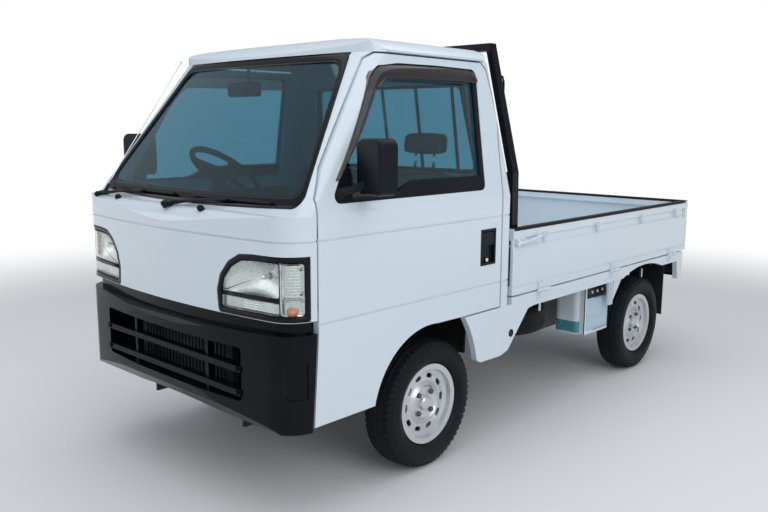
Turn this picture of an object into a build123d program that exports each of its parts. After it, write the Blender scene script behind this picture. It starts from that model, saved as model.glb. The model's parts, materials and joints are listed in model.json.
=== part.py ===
from build123d import *
from math import cos, radians, sin
import os

# A small forward-control truck with a drop-side bed, in millimetres.
# X points to the truck's left side, Y to its rear and Z up.
# The origin is on the ground, midway between the bumper and the tail.

os.makedirs("parts", exist_ok=True)

# Overall sizes
overall_length = 3295
overall_width = 1395
roof_rise = 70
wheelbase = 1900
front_overhang = 828
track = 1205

# Heights above the ground
skirt_bottom_height = 578
sill_bottom_height = 390
bed_floor_height = 655
gate_bottom_height = 649
gate_height = 304
belt_height = 1108
bumper_bottom_height = 352
bumper_top_height = 702
nose_bottom_height = 748
cab_floor_height = 430
seat_base_height = 640

# Cab plan and side outline
nose_front_gap = 8
nose_bow = 60
nose_corner_radius = 115
cowl_radius = 70
cab_back_position = 308
cab_corner_radius = 28
tumblehome = 0.145
glass_foot_set_back = 80
glass_rake = 0.727
glass_bow = 34
glass_rise = 567
eaves_overlap = 7
roof_front_corner_radius = 95
drip_rail_front = -1040

# Walls
nose_wall = 40
door_thickness = 60
door_frame_thickness = 44
roof_wall = 26
panel_thickness = 28
glass_thickness = 5
seal_gap = 0.3

# Clearances
door_gap = 7
gate_gap = 6
pin_clearance = 0.08

# Doors
door_front_position = -1463
door_rear_position = -387
door_low_corner_position = -1486
door_bottom_height = 367
door_arch_bottom_height = 618
door_hinge_depth = 12
door_hinge_set_back = 40
door_hinge_heights = (800, 1050)
hinge_slot_height = 44
hinge_pin_radius = 4
hinge_eye_radius = 7
hinge_arm_half = 12
window_sill_height = 1140
window_head_drop = 27
window_front_head_drop = 56
window_front_position = -1398
window_rear_position = -506
window_front_rake = 0.59
door_shoulder_height = 1161
door_pillar_position = -1408
door_pillar_height = 1258
door_rear_gap = 9
handle_height = 895
handle_position = -483
handle_border = 10
handle_scoop = 14

# Wheel arches
front_arch_front = -1183
rear_arch_front = 800
rear_arch_rear = 1301
arch_top_height = 621

# Bed
bed_front_position = -290
gate_thickness = 32
tail_position = 1638
tailgate_thickness = 40
bed_rib_count = 15
bed_rib_front = -160
bed_rib_height = 7
floor_thickness = 22
gate_pin_radius = 4
gate_lug_radius = 7
gate_lug_width = 8
gate_lug_drop = 40
gate_lug_root = 4
gate_hinge_positions = (-75, 642, 1378)
rope_hook_positions = (-36, 474, 981, 1441)
rope_hook_height = 900
latch_height = 888
latch_length = 160
latch_inset = 26
catch_slot_position = 1568
catch_slot_low = 850
catch_slot_high = 912
striker_height = 872
striker_reach = 17
tailgate_hook_positions = (-330, 0, 330)
tailgate_hinge_positions = (-430, 430)

# Wheels
tyre_radius = 271
tyre_width = 147
rim_radius = 152
rim_flange_radius = 168
rim_well_radius = 132
hub_cap_reach = 48
vent_circle_radius = 113
vent_length = 36
vent_width = 20
rim_width = 112
hub_bore_radius = 14
vent_count = 10
stud_circle_radius = 55

# Steering
steer_axis_low = (570, 190)
steer_axis_high = (450, 632)
strut_radius = 20
arm_pivot_radius = 20
arm_pivot_height = 235
arm_pivot_shifts = (-150, 120)
steering_wheel_radius = 185
grip_radius = 14
steering_wheel_centre = (-310, -1105, 1190)
column_lean = 40

ball_pin_radius = 9
rack_half = 395
rack_height = 300
rack_radius = 22
rack_set_back = 118

# Frame under the body
rail_spacing = 650
rail_width = 50
rail_height = 80
rail_front_depth = 70

# Windscreen, windows and lamps
windscreen_foot = 1114
windscreen_foot_half = 668
windscreen_taper = 0.286
header_gap = 7
rear_window_half = 520
rear_window_sill = 1190
rear_window_head_drop = 85
rear_window_radius = 30
glass_set_in = 6
lamp_foot = 750
lamp_head = 973
lamp_rear_position = -1497
lamp_gap = 1
lamp_inset = 2
lamp_depth = 70
lens_inset = 8
lamp_rim_width = 16
lamp_strip_low = 815
lamp_strip_high = 831
lamp_divider_position = 638

# Pressed lines
belt_crease_height = 1018
door_crease_height = 728
crease_width = 7
crease_depth = 4

# Inside the cab
floor_plate = 20
toe_board_top = 700
hinge_pillar_inner = 568
hinge_pillar_outer = 612
hinge_arm_root = 586
toe_position = -1510
riser_position = -1150
housing_inner = 372
housing_rear = -500
housing_wall = 12
cab_floor_half = 598
column_radius = 12
seat_centre = 300
seat_half = 228
seat_back_top = 1240
headrest_top = 1385
headrest_half = 118
hood_half = 130
dash_vent_positions = (-500, -60, 60, 500)

# Body sides and bed
body_top_cab = 611
body_top_bed = 641
rear_post_bottom = 474
bed_half = 657
gate_pin_x = overall_width / 2 + 9
gate_pin_z = 643
guard_y = -215
guard_foot_half = 640
guard_top_half = 565
guard_knee_height = 1200
guard_top_height = 1762
guard_post_width = 30
guard_post_depth = 46
guard_bar_height = 34
rail_rear_top = 593
cross_member_half = 22
cross_member_positions = (-240, 60, 300, 521, 640, 1010, 1240, 1520)
tow_eye_radius = 14
tow_eye_thickness = 12
tow_eye_half = 31
gusset_front = 650
gusset_rear = 822
gusset_low = 448
gusset_x = 676
gusset_thickness = 5
front_tow_eye = (-1470, 300)
rear_tow_eye = (1558, 452)
plate_hole_radius = 3.5
plate_hole_x = 105
plate_hole_height = 545

# Running gear under the bed
spring_x = 430
spring_width = 50
spring_half = 440
spring_eye_height = 400
axle_radius = 34
spring_eye_radius = 16
spring_eye_half = 28
hanger_plate = 6
engine_foot_positions = (590, 850)
engine_half = 268
engine_front = 520
engine_rear = 930
engine_bottom = 235
engine_height = 270
tank_front = -230
tank_rear = 380
tank_bottom = 330
coolant_low = (463, 482, 298)
coolant_high = (609, 560)
battery_low = (466, 575, 300)
battery_high = (640, 752)
battery_border = 14
battery_cover_top = 516
battery_cover_depth = 8
coolant_radius = 34
drum_radius = 92
spare_x = 300
spare_y = 130
silencer_y = 1410
silencer_height = 385
silencer_radius = 78
tail_lamp_inner = 500
tail_lamp_outer = 655
tail_lamp_bottom = 480
tail_lamp_top = 585
flap_inner = 535
flap_y = 1392
flap_bottom = 268

# Door details
door_glass_set_in = 20
handle_depth = 22
handle_width = 108
handle_rise = 156
garnish_rear_height = 1202
garnish_front_height = 1150
garnish_step_rear = -934
garnish_step_front = -1096
sail_rear = -1290
sail_top = (-1306, 1320)
mirror_centre = (776, -1262, 1266)
mirror_width = 148
mirror_depth = 74
mirror_height = 194
mirror_corner_radius = 34
mirror_edge_radius = 12
mirror_turn = -12
wiper_pivots = (-560, 10)
wiper_pivot_lean = 20
wiper_length = 300
blade_height = 1143
blade_start = 70
blade_end = 520
blade_radius = 5
blade_stand_off = 11

# Bumper
bumper_rear_position = -1471
bumper_corner_radius = 125
grille_half = 462
grille_low = 440
grille_high = 636
grille_bar_heights = (471, 558)
grille_post_position = 250
strip_inset = 22
bumper_shell = 42
bumper_roll_height = 655
pocket_inner = 648
pocket_low = 476
pocket_high = 606
pocket_depth = 5
radiator_front = -1552
radiator_depth = 28
radiator_half = 318
radiator_low = 372
radiator_high = 668
radiator_core_half = 282
radiator_rib_count = 24

# Worked out from the sizes above
half_width = overall_width / 2
header_height = belt_height + glass_rise
overall_height = header_height + roof_rise
eaves_height = header_height + eaves_overlap
door_top_height = header_height - header_gap
window_head_height = door_top_height - window_head_drop
front_y = -overall_length / 2
front_axle_y = front_y + front_overhang
rear_axle_y = front_axle_y + wheelbase
rack_y = front_axle_y + rack_set_back
hub_face = track / 2 - 14
spindle_end = track / 2 + 28
spring_leaves = ((spring_half, spring_eye_height, tyre_radius + 40, 8),
                 (260, tyre_radius + 52, tyre_radius + 28, 13))
nose_y = front_y + nose_front_gap
cab_back_y = -cab_back_position
glass_foot_y = nose_y + glass_foot_set_back
eaves_rise = eaves_height - belt_height
windscreen_head_half = windscreen_foot_half - (header_height - windscreen_foot - 16) * windscreen_taper
rear_window_head = header_height - rear_window_head_drop
rear_window_head_half = rear_window_half - 28
rear_window_points = [(-rear_window_half, rear_window_sill), (rear_window_half, rear_window_sill),
                      (rear_window_head_half, rear_window_head), (-rear_window_head_half, rear_window_head)]
roof_back_y = cab_back_y - 90
floor_rear_position = cab_back_y - panel_thickness - 1
gate_top_height = gate_bottom_height + gate_height
garnish_points = [(-1500, 1100), (-400, 1100), (-400, garnish_rear_height),
                  (garnish_step_rear, garnish_rear_height),
                  (garnish_step_rear - 41, garnish_rear_height - 9),
                  (garnish_step_front + 52, garnish_front_height + 13),
                  (garnish_step_front, garnish_front_height), (sail_rear, garnish_front_height), sail_top,
                  (-1500, sail_top[1] - 20)]
dash_half = hinge_pillar_inner - seal_gap
gate_rear_y = tail_position - tailgate_thickness - gate_gap
door_pin_x = half_width - door_hinge_depth
door_pin_y = door_front_position + door_hinge_set_back
hinge_pin_half = hinge_slot_height / 2 + 18
rail_front_height = cab_floor_height - floor_plate - seal_gap
rail_rear_bottom = rail_rear_top - rail_height
rail_front_bottom = rail_front_height - rail_front_depth
rail_inner = rail_spacing / 2 - rail_width / 2
bed_bottom_height = bed_floor_height - floor_thickness
bed_plate_height = bed_floor_height - bed_rib_height
hinge_reach = gate_pin_x - half_width
bed_rear_y = gate_rear_y - gate_lug_root - seal_gap
sides = (1, -1)
column_axis = Vector(0, sin(radians(column_lean)), cos(radians(column_lean)))
column_plane = Plane(origin=steering_wheel_centre, x_dir=(1, 0, 0), z_dir=column_axis)


def windscreen_y(x, z):
    # Where the glasshouse's front face stands at a given width and height.
    return glass_foot_y + (z - belt_height) * glass_rake + glass_bow * (x / half_width) ** 2


def along_column(distance):
    # A point on the steering column's axis, measured up from the steering wheel.
    return Vector(*steering_wheel_centre) + column_axis * distance


def rounded_plan(half, front, bow, back, front_radius, back_radius):
    # A cab outline seen from above: bowed front, straight sides, rounded corners.
    with BuildSketch() as plan:
        with BuildLine():
            ThreePointArc((-half, front + bow), (0, front), (half, front + bow))
            Polyline((half, front + bow), (half, back), (-half, back), (-half, front + bow))
        make_face()
        corners = plan.vertices().group_by(Axis.Y)
        fillet(corners[0], front_radius)
        fillet(plan.vertices().group_by(Axis.Y)[-1], back_radius)
    return plan.sketch


def lower_cab(inset, bottom):
    # The cab up to the belt line, each face moved in by inset.
    half = half_width - inset
    front = nose_y + inset
    outline = rounded_plan(half, front, nose_bow, cab_back_y - inset,
                           nose_corner_radius - inset, max(cab_corner_radius - inset, 6))
    top = belt_height - inset * 0.4
    with BuildPart() as cab:
        with BuildSketch(Plane.XY.offset(bottom)):
            add(outline)
        extrude(amount=top - bottom)
        with BuildSketch(Plane.YZ):
            with BuildLine():
                Polyline((cab_back_y, bottom), (front - 1, bottom), (front - 1, top - cowl_radius))
                TangentArc((front - 1, top - cowl_radius), (front - 1 + cowl_radius, top), tangent=(0, 1))
                Polyline((front - 1 + cowl_radius, top), (cab_back_y, top), (cab_back_y, bottom))
            make_face()
        extrude(amount=overall_width, both=True, mode=Mode.INTERSECT)
    return cab.part


def upper_cab(inset, low, high):
    # The glasshouse between two heights, leaning in on every side.
    with BuildPart() as house:
        for height in (low, high):
            rise = height - belt_height
            share = rise / eaves_rise
            half = half_width - rise * tumblehome - inset
            front = glass_foot_y + rise * glass_rake + inset
            back = cab_back_y - inset + (roof_back_y - cab_back_y) * share
            radius = 45 + (roof_front_corner_radius - 45) * share
            outline = rounded_plan(half, front, glass_bow, back, max(radius - inset, 12),
                                   max(cab_corner_radius - inset, 6))
            with BuildSketch(Plane.XY.offset(height)):
                add(outline)
        loft(ruled=True)
    return house.part


def side_prism(points, radius, low_x, high_x, grow=0):
    # A prism along X from an outline given as (y, z) points.
    with BuildPart() as prism:
        with BuildSketch(Plane.YZ.offset(low_x)) as outline:
            with BuildLine():
                Polyline(*points, close=True)
            make_face()
            if radius:
                fillet(outline.vertices(), radius)
            if grow:
                offset(amount=grow, kind=Kind.INTERSECTION)
        extrude(amount=high_x - low_x)
    return prism.part


def front_prism(points, radius, low_y, high_y, grow=0):
    # A prism along Y from an outline given as (x, z) points.
    with BuildPart() as prism:
        with BuildSketch(Plane.XZ.offset(-high_y)) as outline:
            with BuildLine():
                Polyline(*points, close=True)
            make_face()
            if radius:
                fillet(outline.vertices(), radius)
            if grow:
                offset(amount=grow, kind=Kind.INTERSECTION)
        extrude(amount=high_y - low_y)
    return prism.part


def block(low, high, mode=Mode.ADD):
    # Adds a box, given by two opposite corners, to the piece being built.
    size = [abs(b - a) for a, b in zip(low, high)]
    centre = [(a + b) / 2 for a, b in zip(low, high)]
    with Locations(tuple(centre)):
        Box(*size, mode=mode)


def rod(start, end, radius, mode=Mode.ADD):
    # Adds a round rod from one point to another.
    line = Vector(*end) - Vector(*start)
    place = Plane(origin=Vector(*start) + line / 2, z_dir=line)
    with Locations(place):
        Cylinder(radius, line.length, mode=mode)


def finish(shape, name):
    # Names a finished piece and writes it.
    shape.label = name
    export_step(shape, "parts/" + name + ".step")


def door_prism(grow):
    # The left door's outline in side view, from the arch to the window frame.
    head_front = door_pillar_position + (door_top_height - 22 - door_pillar_height) * glass_rake
    with BuildPart() as prism:
        with BuildSketch(Plane.YZ.offset(300)) as outline:
            with BuildLine():
                Polyline((front_arch_front, door_bottom_height),
                         (door_low_corner_position, door_bottom_height),
                         (door_front_position, nose_bottom_height - 50),
                         (door_front_position, door_shoulder_height),
                         (door_pillar_position, door_pillar_height), (head_front, door_top_height - 22),
                         (head_front + 38, door_top_height))
                Polyline((head_front + 38, door_top_height), (door_rear_position - 75, door_top_height),
                         (door_rear_position - 43, door_top_height - 30),
                         (door_rear_position + 9, door_top_height - 228),
                         (door_rear_position, door_top_height - 338),
                         (door_rear_position, door_arch_bottom_height), (-640, door_arch_bottom_height))
                Line((-640, door_arch_bottom_height), (front_axle_y, arch_top_height))
                ThreePointArc((front_axle_y, arch_top_height), (-1046, 566),
                              (front_arch_front, door_bottom_height))
            make_face()
            if grow:
                offset(amount=grow, kind=Kind.INTERSECTION)
        extrude(amount=600)
    return prism.part


def door_volume(grow):
    # The space of the left door: its outline, as deep as its wall, leaning in above the belt.
    low_x = half_width - door_thickness - grow
    belt_x = half_width - door_frame_thickness - grow
    head_x = belt_x - (header_height - belt_height) * tumblehome
    with BuildPart() as volume:
        add(door_prism(grow))
        add(front_prism([(low_x, 300), (low_x, belt_height - 40), (belt_x, belt_height),
                         (head_x, header_height),
                         (head_x, header_height + 60), (900, header_height + 60), (900, 300)], 0, -1800, 0),
            mode=Mode.INTERSECT)
    return volume.part


def window_prism(grow):
    # The left door's window outline in side view, its upper front corner a wide curve.
    front_head = window_head_height - window_front_head_drop
    head_front = window_front_position + (front_head - window_sill_height) * window_front_rake
    points = [(window_front_position, window_sill_height), (window_rear_position, window_sill_height),
              (window_rear_position + 7, window_head_height - 23),
              (window_rear_position - 14, window_head_height - 3),
              (head_front + 390, window_head_height), (head_front + 151, window_head_height - 3),
              (head_front + 41, window_head_height - 18), (head_front, front_head)]
    return side_prism(points, 26, 300, 900, grow)


def windscreen_prism(grow, top_cut=0):
    # The windscreen's outline in front view, its foot bowed down in the middle.
    with BuildPart() as prism:
        with BuildSketch(Plane.XZ.offset(900)) as outline:
            with BuildLine():
                ThreePointArc((-windscreen_foot_half, windscreen_foot + 16), (0, windscreen_foot),
                              (windscreen_foot_half, windscreen_foot + 16))
                Polyline((windscreen_foot_half, windscreen_foot + 16), (windscreen_head_half, header_height),
                         (-windscreen_head_half, header_height),
                         (-windscreen_foot_half, windscreen_foot + 16))
            make_face()
            fillet(outline.vertices(), 38)
            if grow:
                offset(amount=grow, kind=Kind.INTERSECTION)
        extrude(amount=900)
        if top_cut:
            block((-windscreen_head_half - 4, -1800, header_height - top_cut),
                  (windscreen_head_half + 4, -900, header_height + top_cut))
    return prism.part


def lamp_prism(grow):
    # The left headlamp's outline in front view, running round the nose's corner.
    points = [(344, lamp_foot), (337, 828), (355, 886), (400, 938), (455, lamp_head - 5), (520, lamp_head),
              (760, lamp_head), (760, lamp_foot)]
    return front_prism(points, 14, -1800, lamp_rear_position + min(grow, 0), grow)


def roof_volume(inset):
    # The roof skin: the eaves outline, crowned both along and across.
    half = half_width - (header_height - belt_height) * tumblehome - inset
    front = glass_foot_y + (header_height - belt_height) * glass_rake + inset
    back = roof_back_y - inset
    top = overall_height - inset
    low = header_height + seal_gap - (inset and 1)
    rise = top - low
    with BuildPart() as roof:
        with BuildSketch(Plane.XY.offset(low)):
            add(rounded_plan(half, front, glass_bow, back, roof_front_corner_radius - inset,
                             cab_corner_radius + 20 - inset))
        extrude(amount=top - low)
        with BuildSketch(Plane.YZ):
            with BuildLine():
                Polyline((back + 9, low), (front - 9, low), (front - 9, low + 3))
                ThreePointArc((front - 9, low + 3), (front + 60, top - rise * 0.34),
                              (front + 210, top - rise * 0.07))
                ThreePointArc((front + 210, top - rise * 0.07), (front + 430, top),
                              (back - 80, top - rise * 0.11))
                ThreePointArc((back - 80, top - rise * 0.11), (back - 14, top - rise * 0.43),
                              (back + 9, low + 3))
                Line((back + 9, low + 3), (back + 9, low))
            make_face()
        extrude(amount=overall_width, both=True, mode=Mode.INTERSECT)
        with BuildSketch(Plane.XZ.offset(-overall_length)):
            with BuildLine():
                Line((-half - 4, low), (-half - 4, low + 4))
                ThreePointArc((-half - 4, low + 4), (-half + 22, low + rise * 0.44),
                              (-half + 90, top - rise * 0.23))
                ThreePointArc((-half + 90, top - rise * 0.23), (0, top), (half - 90, top - rise * 0.23))
                ThreePointArc((half - 90, top - rise * 0.23), (half - 22, low + rise * 0.44),
                              (half + 4, low + 4))
                Polyline((half + 4, low + 4), (half + 4, low), (-half - 4, low))
            make_face()
        extrude(amount=2 * overall_length, mode=Mode.INTERSECT)
    return roof.part


def crease(height):
    # A pressed line round the cab, cut a little into the skin.
    with BuildPart() as line:
        add(lower_cab(-1, height - 20))
        block((-900, -2000, 0), (900, 900, height), mode=Mode.SUBTRACT)
        block((-900, -2000, height + crease_width), (900, 900, 2000), mode=Mode.SUBTRACT)
        add(lower_cab(crease_depth, height - 30), mode=Mode.SUBTRACT)
    return line.part


# The cab's shells, shared by the pieces that are cut from them
lower_skin = lower_cab(0, sill_bottom_height - 40)
upper_skin = upper_cab(0, belt_height, header_height)
belt_crease = crease(belt_crease_height)
door_crease = crease(door_crease_height)

# Nose panel, with the headlamp openings
with BuildPart() as nose_panel:
    add(lower_cab(0, nose_bottom_height))
    add(lower_cab(nose_wall, nose_bottom_height - 10), mode=Mode.SUBTRACT)
    block((-900, door_front_position - door_gap, 0), (900, 900, 2000), mode=Mode.SUBTRACT)
    add(belt_crease, mode=Mode.SUBTRACT)
    add(lamp_prism(lamp_gap), mode=Mode.SUBTRACT)
    add(mirror(lamp_prism(lamp_gap), Plane.YZ, mode=Mode.PRIVATE), mode=Mode.SUBTRACT)
finish(nose_panel.part, "nose_panel")

# Headlamps following the nose's curve: a raised rim round a main lens, a lower lens and a side lamp
with BuildPart() as lamp_rim:
    add(lower_cab(lamp_inset, nose_bottom_height - 20))
    add(lower_cab(lens_inset + 4, nose_bottom_height - 30), mode=Mode.SUBTRACT)
    add(lamp_prism(0), mode=Mode.INTERSECT)
    add(lamp_prism(-lamp_rim_width), mode=Mode.SUBTRACT)

with BuildPart() as lens_joints:
    block((lamp_divider_position - 340, -1800, lamp_strip_low),
          (lamp_divider_position, -1400, lamp_strip_high))
    block((lamp_divider_position, -1800, lamp_foot), (lamp_divider_position + 6, -1400, lamp_head))
    add(lower_cab(lens_inset + 4, nose_bottom_height - 30), mode=Mode.SUBTRACT)

with BuildPart() as headlamps:
    add(lower_cab(lens_inset, nose_bottom_height - 20))
    add(lower_cab(lamp_depth, nose_bottom_height - 30), mode=Mode.SUBTRACT)
    add(lamp_prism(0), mode=Mode.INTERSECT)
    add(lens_joints.part, mode=Mode.SUBTRACT)
    add(lamp_rim.part)
    mirror(about=Plane.YZ)
finish(headlamps.part, "headlamps")

# Front pillars: the windscreen's frame above and the hinge pillars below
with BuildPart() as front_pillars:
    add(upper_skin)
    add(upper_cab(door_frame_thickness, belt_height - 9, header_height + 9), mode=Mode.SUBTRACT)
    add(windscreen_prism(seal_gap, 14), mode=Mode.SUBTRACT)
    block((-900, -900, 0), (900, 900, 2000), mode=Mode.SUBTRACT)
    cutter = door_volume(door_gap)
    for side in sides:
        add(cutter if side > 0 else mirror(cutter, Plane.YZ, mode=Mode.PRIVATE), mode=Mode.SUBTRACT)
    for side in sides:
        block((side * hinge_pillar_inner, lamp_rear_position + 1, toe_board_top + seal_gap),
              (side * hinge_pillar_outer, door_front_position - door_gap,
               belt_height - nose_wall * 0.4 - seal_gap))
        for height in door_hinge_heights:
            low = height - hinge_arm_half
            high = height + hinge_arm_half
            block((side * hinge_arm_root, door_front_position - door_gap - 1, low),
                  (side * hinge_pillar_outer, door_pin_y + hinge_eye_radius, high))
            block((side * (hinge_pillar_outer - 12), door_pin_y - hinge_eye_radius, low),
                  (side * door_pin_x, door_pin_y + hinge_eye_radius, high))
            rod((side * door_pin_x, door_pin_y, low), (side * door_pin_x, door_pin_y, high), hinge_eye_radius)
            rod((side * door_pin_x, door_pin_y, height - hinge_pin_half),
                (side * door_pin_x, door_pin_y, height + hinge_pin_half), hinge_pin_radius)
finish(front_pillars.part, "front_pillars")

# Windscreen and rear window
with BuildPart() as cab_glass:
    with BuildPart(mode=Mode.PRIVATE) as front_glass:
        add(upper_cab(glass_set_in, belt_height - 9, header_height + 9))
        add(upper_cab(glass_set_in + glass_thickness, belt_height - 19, header_height + 19),
            mode=Mode.SUBTRACT)
        add(windscreen_prism(0), mode=Mode.INTERSECT)
    with BuildPart(mode=Mode.PRIVATE) as back_glass:
        add(upper_cab(glass_set_in, belt_height - 9, header_height + 9))
        add(upper_cab(glass_set_in + glass_thickness, belt_height - 19, header_height + 19),
            mode=Mode.SUBTRACT)
        add(front_prism(rear_window_points, rear_window_radius, housing_rear - 100, 0), mode=Mode.INTERSECT)
    add(front_glass.part)
    add(back_glass.part)
finish(cab_glass.part, "cab_glass")

# Roof with its drip rails
with BuildPart() as roof:
    add(roof_volume(0))
    add(roof_volume(roof_wall), mode=Mode.SUBTRACT)
    for side in sides:
        rail_x = half_width - (header_height - belt_height) * tumblehome
        block((side * (rail_x - 6), drip_rail_front, header_height + 2),
              (side * (rail_x + 7), roof_back_y - 40, header_height + 9))
finish(roof.part, "roof")

# Cab back with the rear window's opening, wrapping to the doors' seams
with BuildPart() as cab_back:
    add(upper_skin)
    add(upper_cab(panel_thickness, belt_height - 9, header_height + 9), mode=Mode.SUBTRACT)
    with BuildPart(mode=Mode.PRIVATE) as lower_back:
        add(lower_cab(0, door_arch_bottom_height - door_gap))
        block((-half_width + panel_thickness, -1800, 0),
              (half_width - panel_thickness, cab_back_y - panel_thickness, 2000), mode=Mode.SUBTRACT)
    add(lower_back.part)
    add(belt_crease, mode=Mode.SUBTRACT)
    add(door_crease, mode=Mode.SUBTRACT)
    block((-900, -1900, 0), (900, -475, 2000), mode=Mode.SUBTRACT)
    cutter = door_volume(door_rear_gap)
    for side in sides:
        add(cutter if side > 0 else mirror(cutter, Plane.YZ, mode=Mode.PRIVATE), mode=Mode.SUBTRACT)
    add(front_prism(rear_window_points, rear_window_radius, housing_rear - 100, 0, seal_gap),
        mode=Mode.SUBTRACT)
finish(cab_back.part, "cab_back")

# Cab floor: foot well, riser, seat base and wheel housings
with BuildPart() as cab_floor:
    with BuildSketch(Plane.YZ):
        with BuildLine():
            Polyline((toe_position, toe_board_top), (toe_position, cab_floor_height - floor_plate),
                     (riser_position, cab_floor_height - floor_plate),
                     (riser_position, seat_base_height - floor_plate),
                     (floor_rear_position, seat_base_height - floor_plate),
                     (floor_rear_position, seat_base_height),
                     (riser_position - floor_plate, seat_base_height),
                     (riser_position - floor_plate, cab_floor_height),
                     (toe_position + floor_plate, cab_floor_height),
                     (toe_position + floor_plate, toe_board_top),
                     close=True)
        make_face()
    extrude(amount=cab_floor_half, both=True)
    for side in sides:
        inner = side * housing_inner
        block((inner, riser_position - 2, cab_floor_height - floor_plate),
              (inner - side * housing_wall, housing_rear, seat_base_height - 2))
        block((inner, housing_rear - housing_wall, cab_floor_height - floor_plate),
              (side * cab_floor_half, housing_rear, seat_base_height - 2))
finish(cab_floor.part, "cab_floor")

# Dashboard with its instrument hood and vents, and the steering column
with BuildPart() as dashboard:
    add(side_prism([(-1500, 770), (-1500, 1050), (-1430, 1060), (-1300, 1040), (-1262, 960), (-1300, 800),
                    (-1420, 760)],
                   18, -dash_half, dash_half))
    add(side_prism([(-1440, 1030), (-1410, 1092), (-1335, 1104), (-1292, 1060), (-1296, 1030)], 12,
                   steering_wheel_centre[0] - hood_half, steering_wheel_centre[0] + hood_half))
    for position in dash_vent_positions:
        block((position - 45, -1290, 978), (position + 45, -1250, 1012), mode=Mode.SUBTRACT)
    rod(along_column(-320), along_column(-18), 22)
    rod(along_column(-18), along_column(26), column_radius)
finish(dashboard.part, "dashboard")

# Steering wheel, its ring an eight-sided section
with BuildPart() as wheel_ring:
    with BuildSketch(Plane.XZ):
        with Locations((steering_wheel_radius - grip_radius, 0)):
            RegularPolygon(grip_radius, 8)
    revolve(axis=Axis.Z)

with BuildPart() as steering_wheel:
    with BuildSketch(column_plane) as spokes:
        Circle(38)
        with PolarLocations(0, 3, start_angle=90):
            Rectangle(steering_wheel_radius - 8, 34, align=(Align.MIN, Align.CENTER))
    extrude(amount=9, both=True)
    with Locations(column_plane):
        add(wheel_ring.part)
        Cylinder(column_radius + pin_clearance, 200, mode=Mode.SUBTRACT)
finish(steering_wheel.part, "steering_wheel")

# Seats: a cushion and a reclined back each, with a headrest on two posts
with BuildPart() as seats:
    for side in sides:
        middle = side * seat_centre
        add(side_prism([(-1075, seat_base_height + seal_gap), (-1085, 770), (-1060, 800), (-700, 775),
                        (-590, 800),
                        (-498, seat_back_top), (-414, seat_back_top), (-470, 720),
                        (-500, seat_base_height + seal_gap)],
                       14, middle - seat_half, middle + seat_half))
        add(side_prism([(-484, seat_back_top + 26), (-470, headrest_top), (-396, headrest_top),
                        (-402, seat_back_top + 26)],
                       18, middle - headrest_half, middle + headrest_half))
        for end in sides:
            rod((middle + end * headrest_half / 2, -448, seat_back_top - 20),
                (middle + end * headrest_half / 2, -436, seat_back_top + 60), 6)
finish(seats.part, "seats")

# Front bumper with its air opening and bars
with BuildPart() as front_bumper:
    with BuildSketch(Plane.XY.offset(bumper_bottom_height)):
        add(rounded_plan(half_width, front_y, nose_bow, cab_back_y, bumper_corner_radius, 8))
    extrude(amount=bumper_top_height - bumper_bottom_height)
    with BuildSketch(Plane.YZ):
        with BuildLine():
            Polyline((0, bumper_top_height), (0, bumper_bottom_height), (front_y + 60, bumper_bottom_height),
                     (front_y + 14, 405), (front_y, 455), (front_y, bumper_roll_height))
            TangentArc((front_y, bumper_roll_height), (front_y + 40, bumper_top_height), tangent=(0, 1))
            Line((front_y + 40, bumper_top_height), (0, bumper_top_height))
        make_face()
    extrude(amount=overall_width, both=True, mode=Mode.INTERSECT)
    with BuildSketch(Plane.XY.offset(bumper_bottom_height - 1)):
        add(rounded_plan(half_width - 30, front_y + 60, nose_bow, cab_back_y + 50, bumper_corner_radius - 35,
                         8))
    extrude(amount=bumper_top_height - bumper_bottom_height - 17, mode=Mode.SUBTRACT)
    add(side_prism([(bumper_rear_position, 900), (bumper_rear_position, bumper_top_height - 4),
                    (bumper_rear_position - 25, bumper_bottom_height - 12), (400, bumper_bottom_height - 12),
                    (400, 900)],
                   0, -900, 900), mode=Mode.SUBTRACT)
    add(front_prism([(-grille_half, grille_low), (-grille_half, grille_high), (grille_half, grille_high),
                     (grille_half, grille_low)], 16, -1800, -1300), mode=Mode.SUBTRACT)
    for height in grille_bar_heights:
        block((-grille_half - 2, front_y + 18, height - 11), (grille_half + 2, front_y + 58, height + 11))
        for side in sides:
            rod((side * (grille_half - 16), front_y + 12, height),
                (side * (grille_half - 16), front_y + 40, height), 8)
    for side in sides:
        block((side * grille_post_position - 8, front_y + 30, grille_low - 2),
              (side * grille_post_position + 8, front_y + 58, grille_high + 2))
    add(lower_cab(bumper_shell, bumper_bottom_height - 30), mode=Mode.SUBTRACT)
    for side in sides:
        with BuildPart(mode=Mode.PRIVATE) as pocket:
            add(front_prism([(side * pocket_inner, pocket_low), (side * pocket_inner, pocket_high),
                             (side * 760, pocket_high), (side * 760, pocket_low)], 20, -1800,
                             bumper_rear_position - 40))
            with BuildSketch(Plane.XY.offset(pocket_low - 10)):
                add(rounded_plan(half_width - pocket_depth, front_y + pocket_depth, nose_bow, cab_back_y,
                                 bumper_corner_radius - pocket_depth, 8))
            extrude(amount=pocket_high - pocket_low + 20, mode=Mode.SUBTRACT)
        add(pocket.part, mode=Mode.SUBTRACT)
    with BuildPart(mode=Mode.PRIVATE) as strip:
        add(lower_cab(strip_inset, bumper_top_height - 12))
        add(lower_cab(bumper_shell, bumper_top_height - 30), mode=Mode.SUBTRACT)
        block((-900, bumper_rear_position, 0), (900, 900, 2000), mode=Mode.SUBTRACT)
        block((-900, -1900, nose_bottom_height - seal_gap), (900, 900, 2000), mode=Mode.SUBTRACT)
    add(strip.part)
finish(front_bumper.part, "front_bumper")

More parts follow.
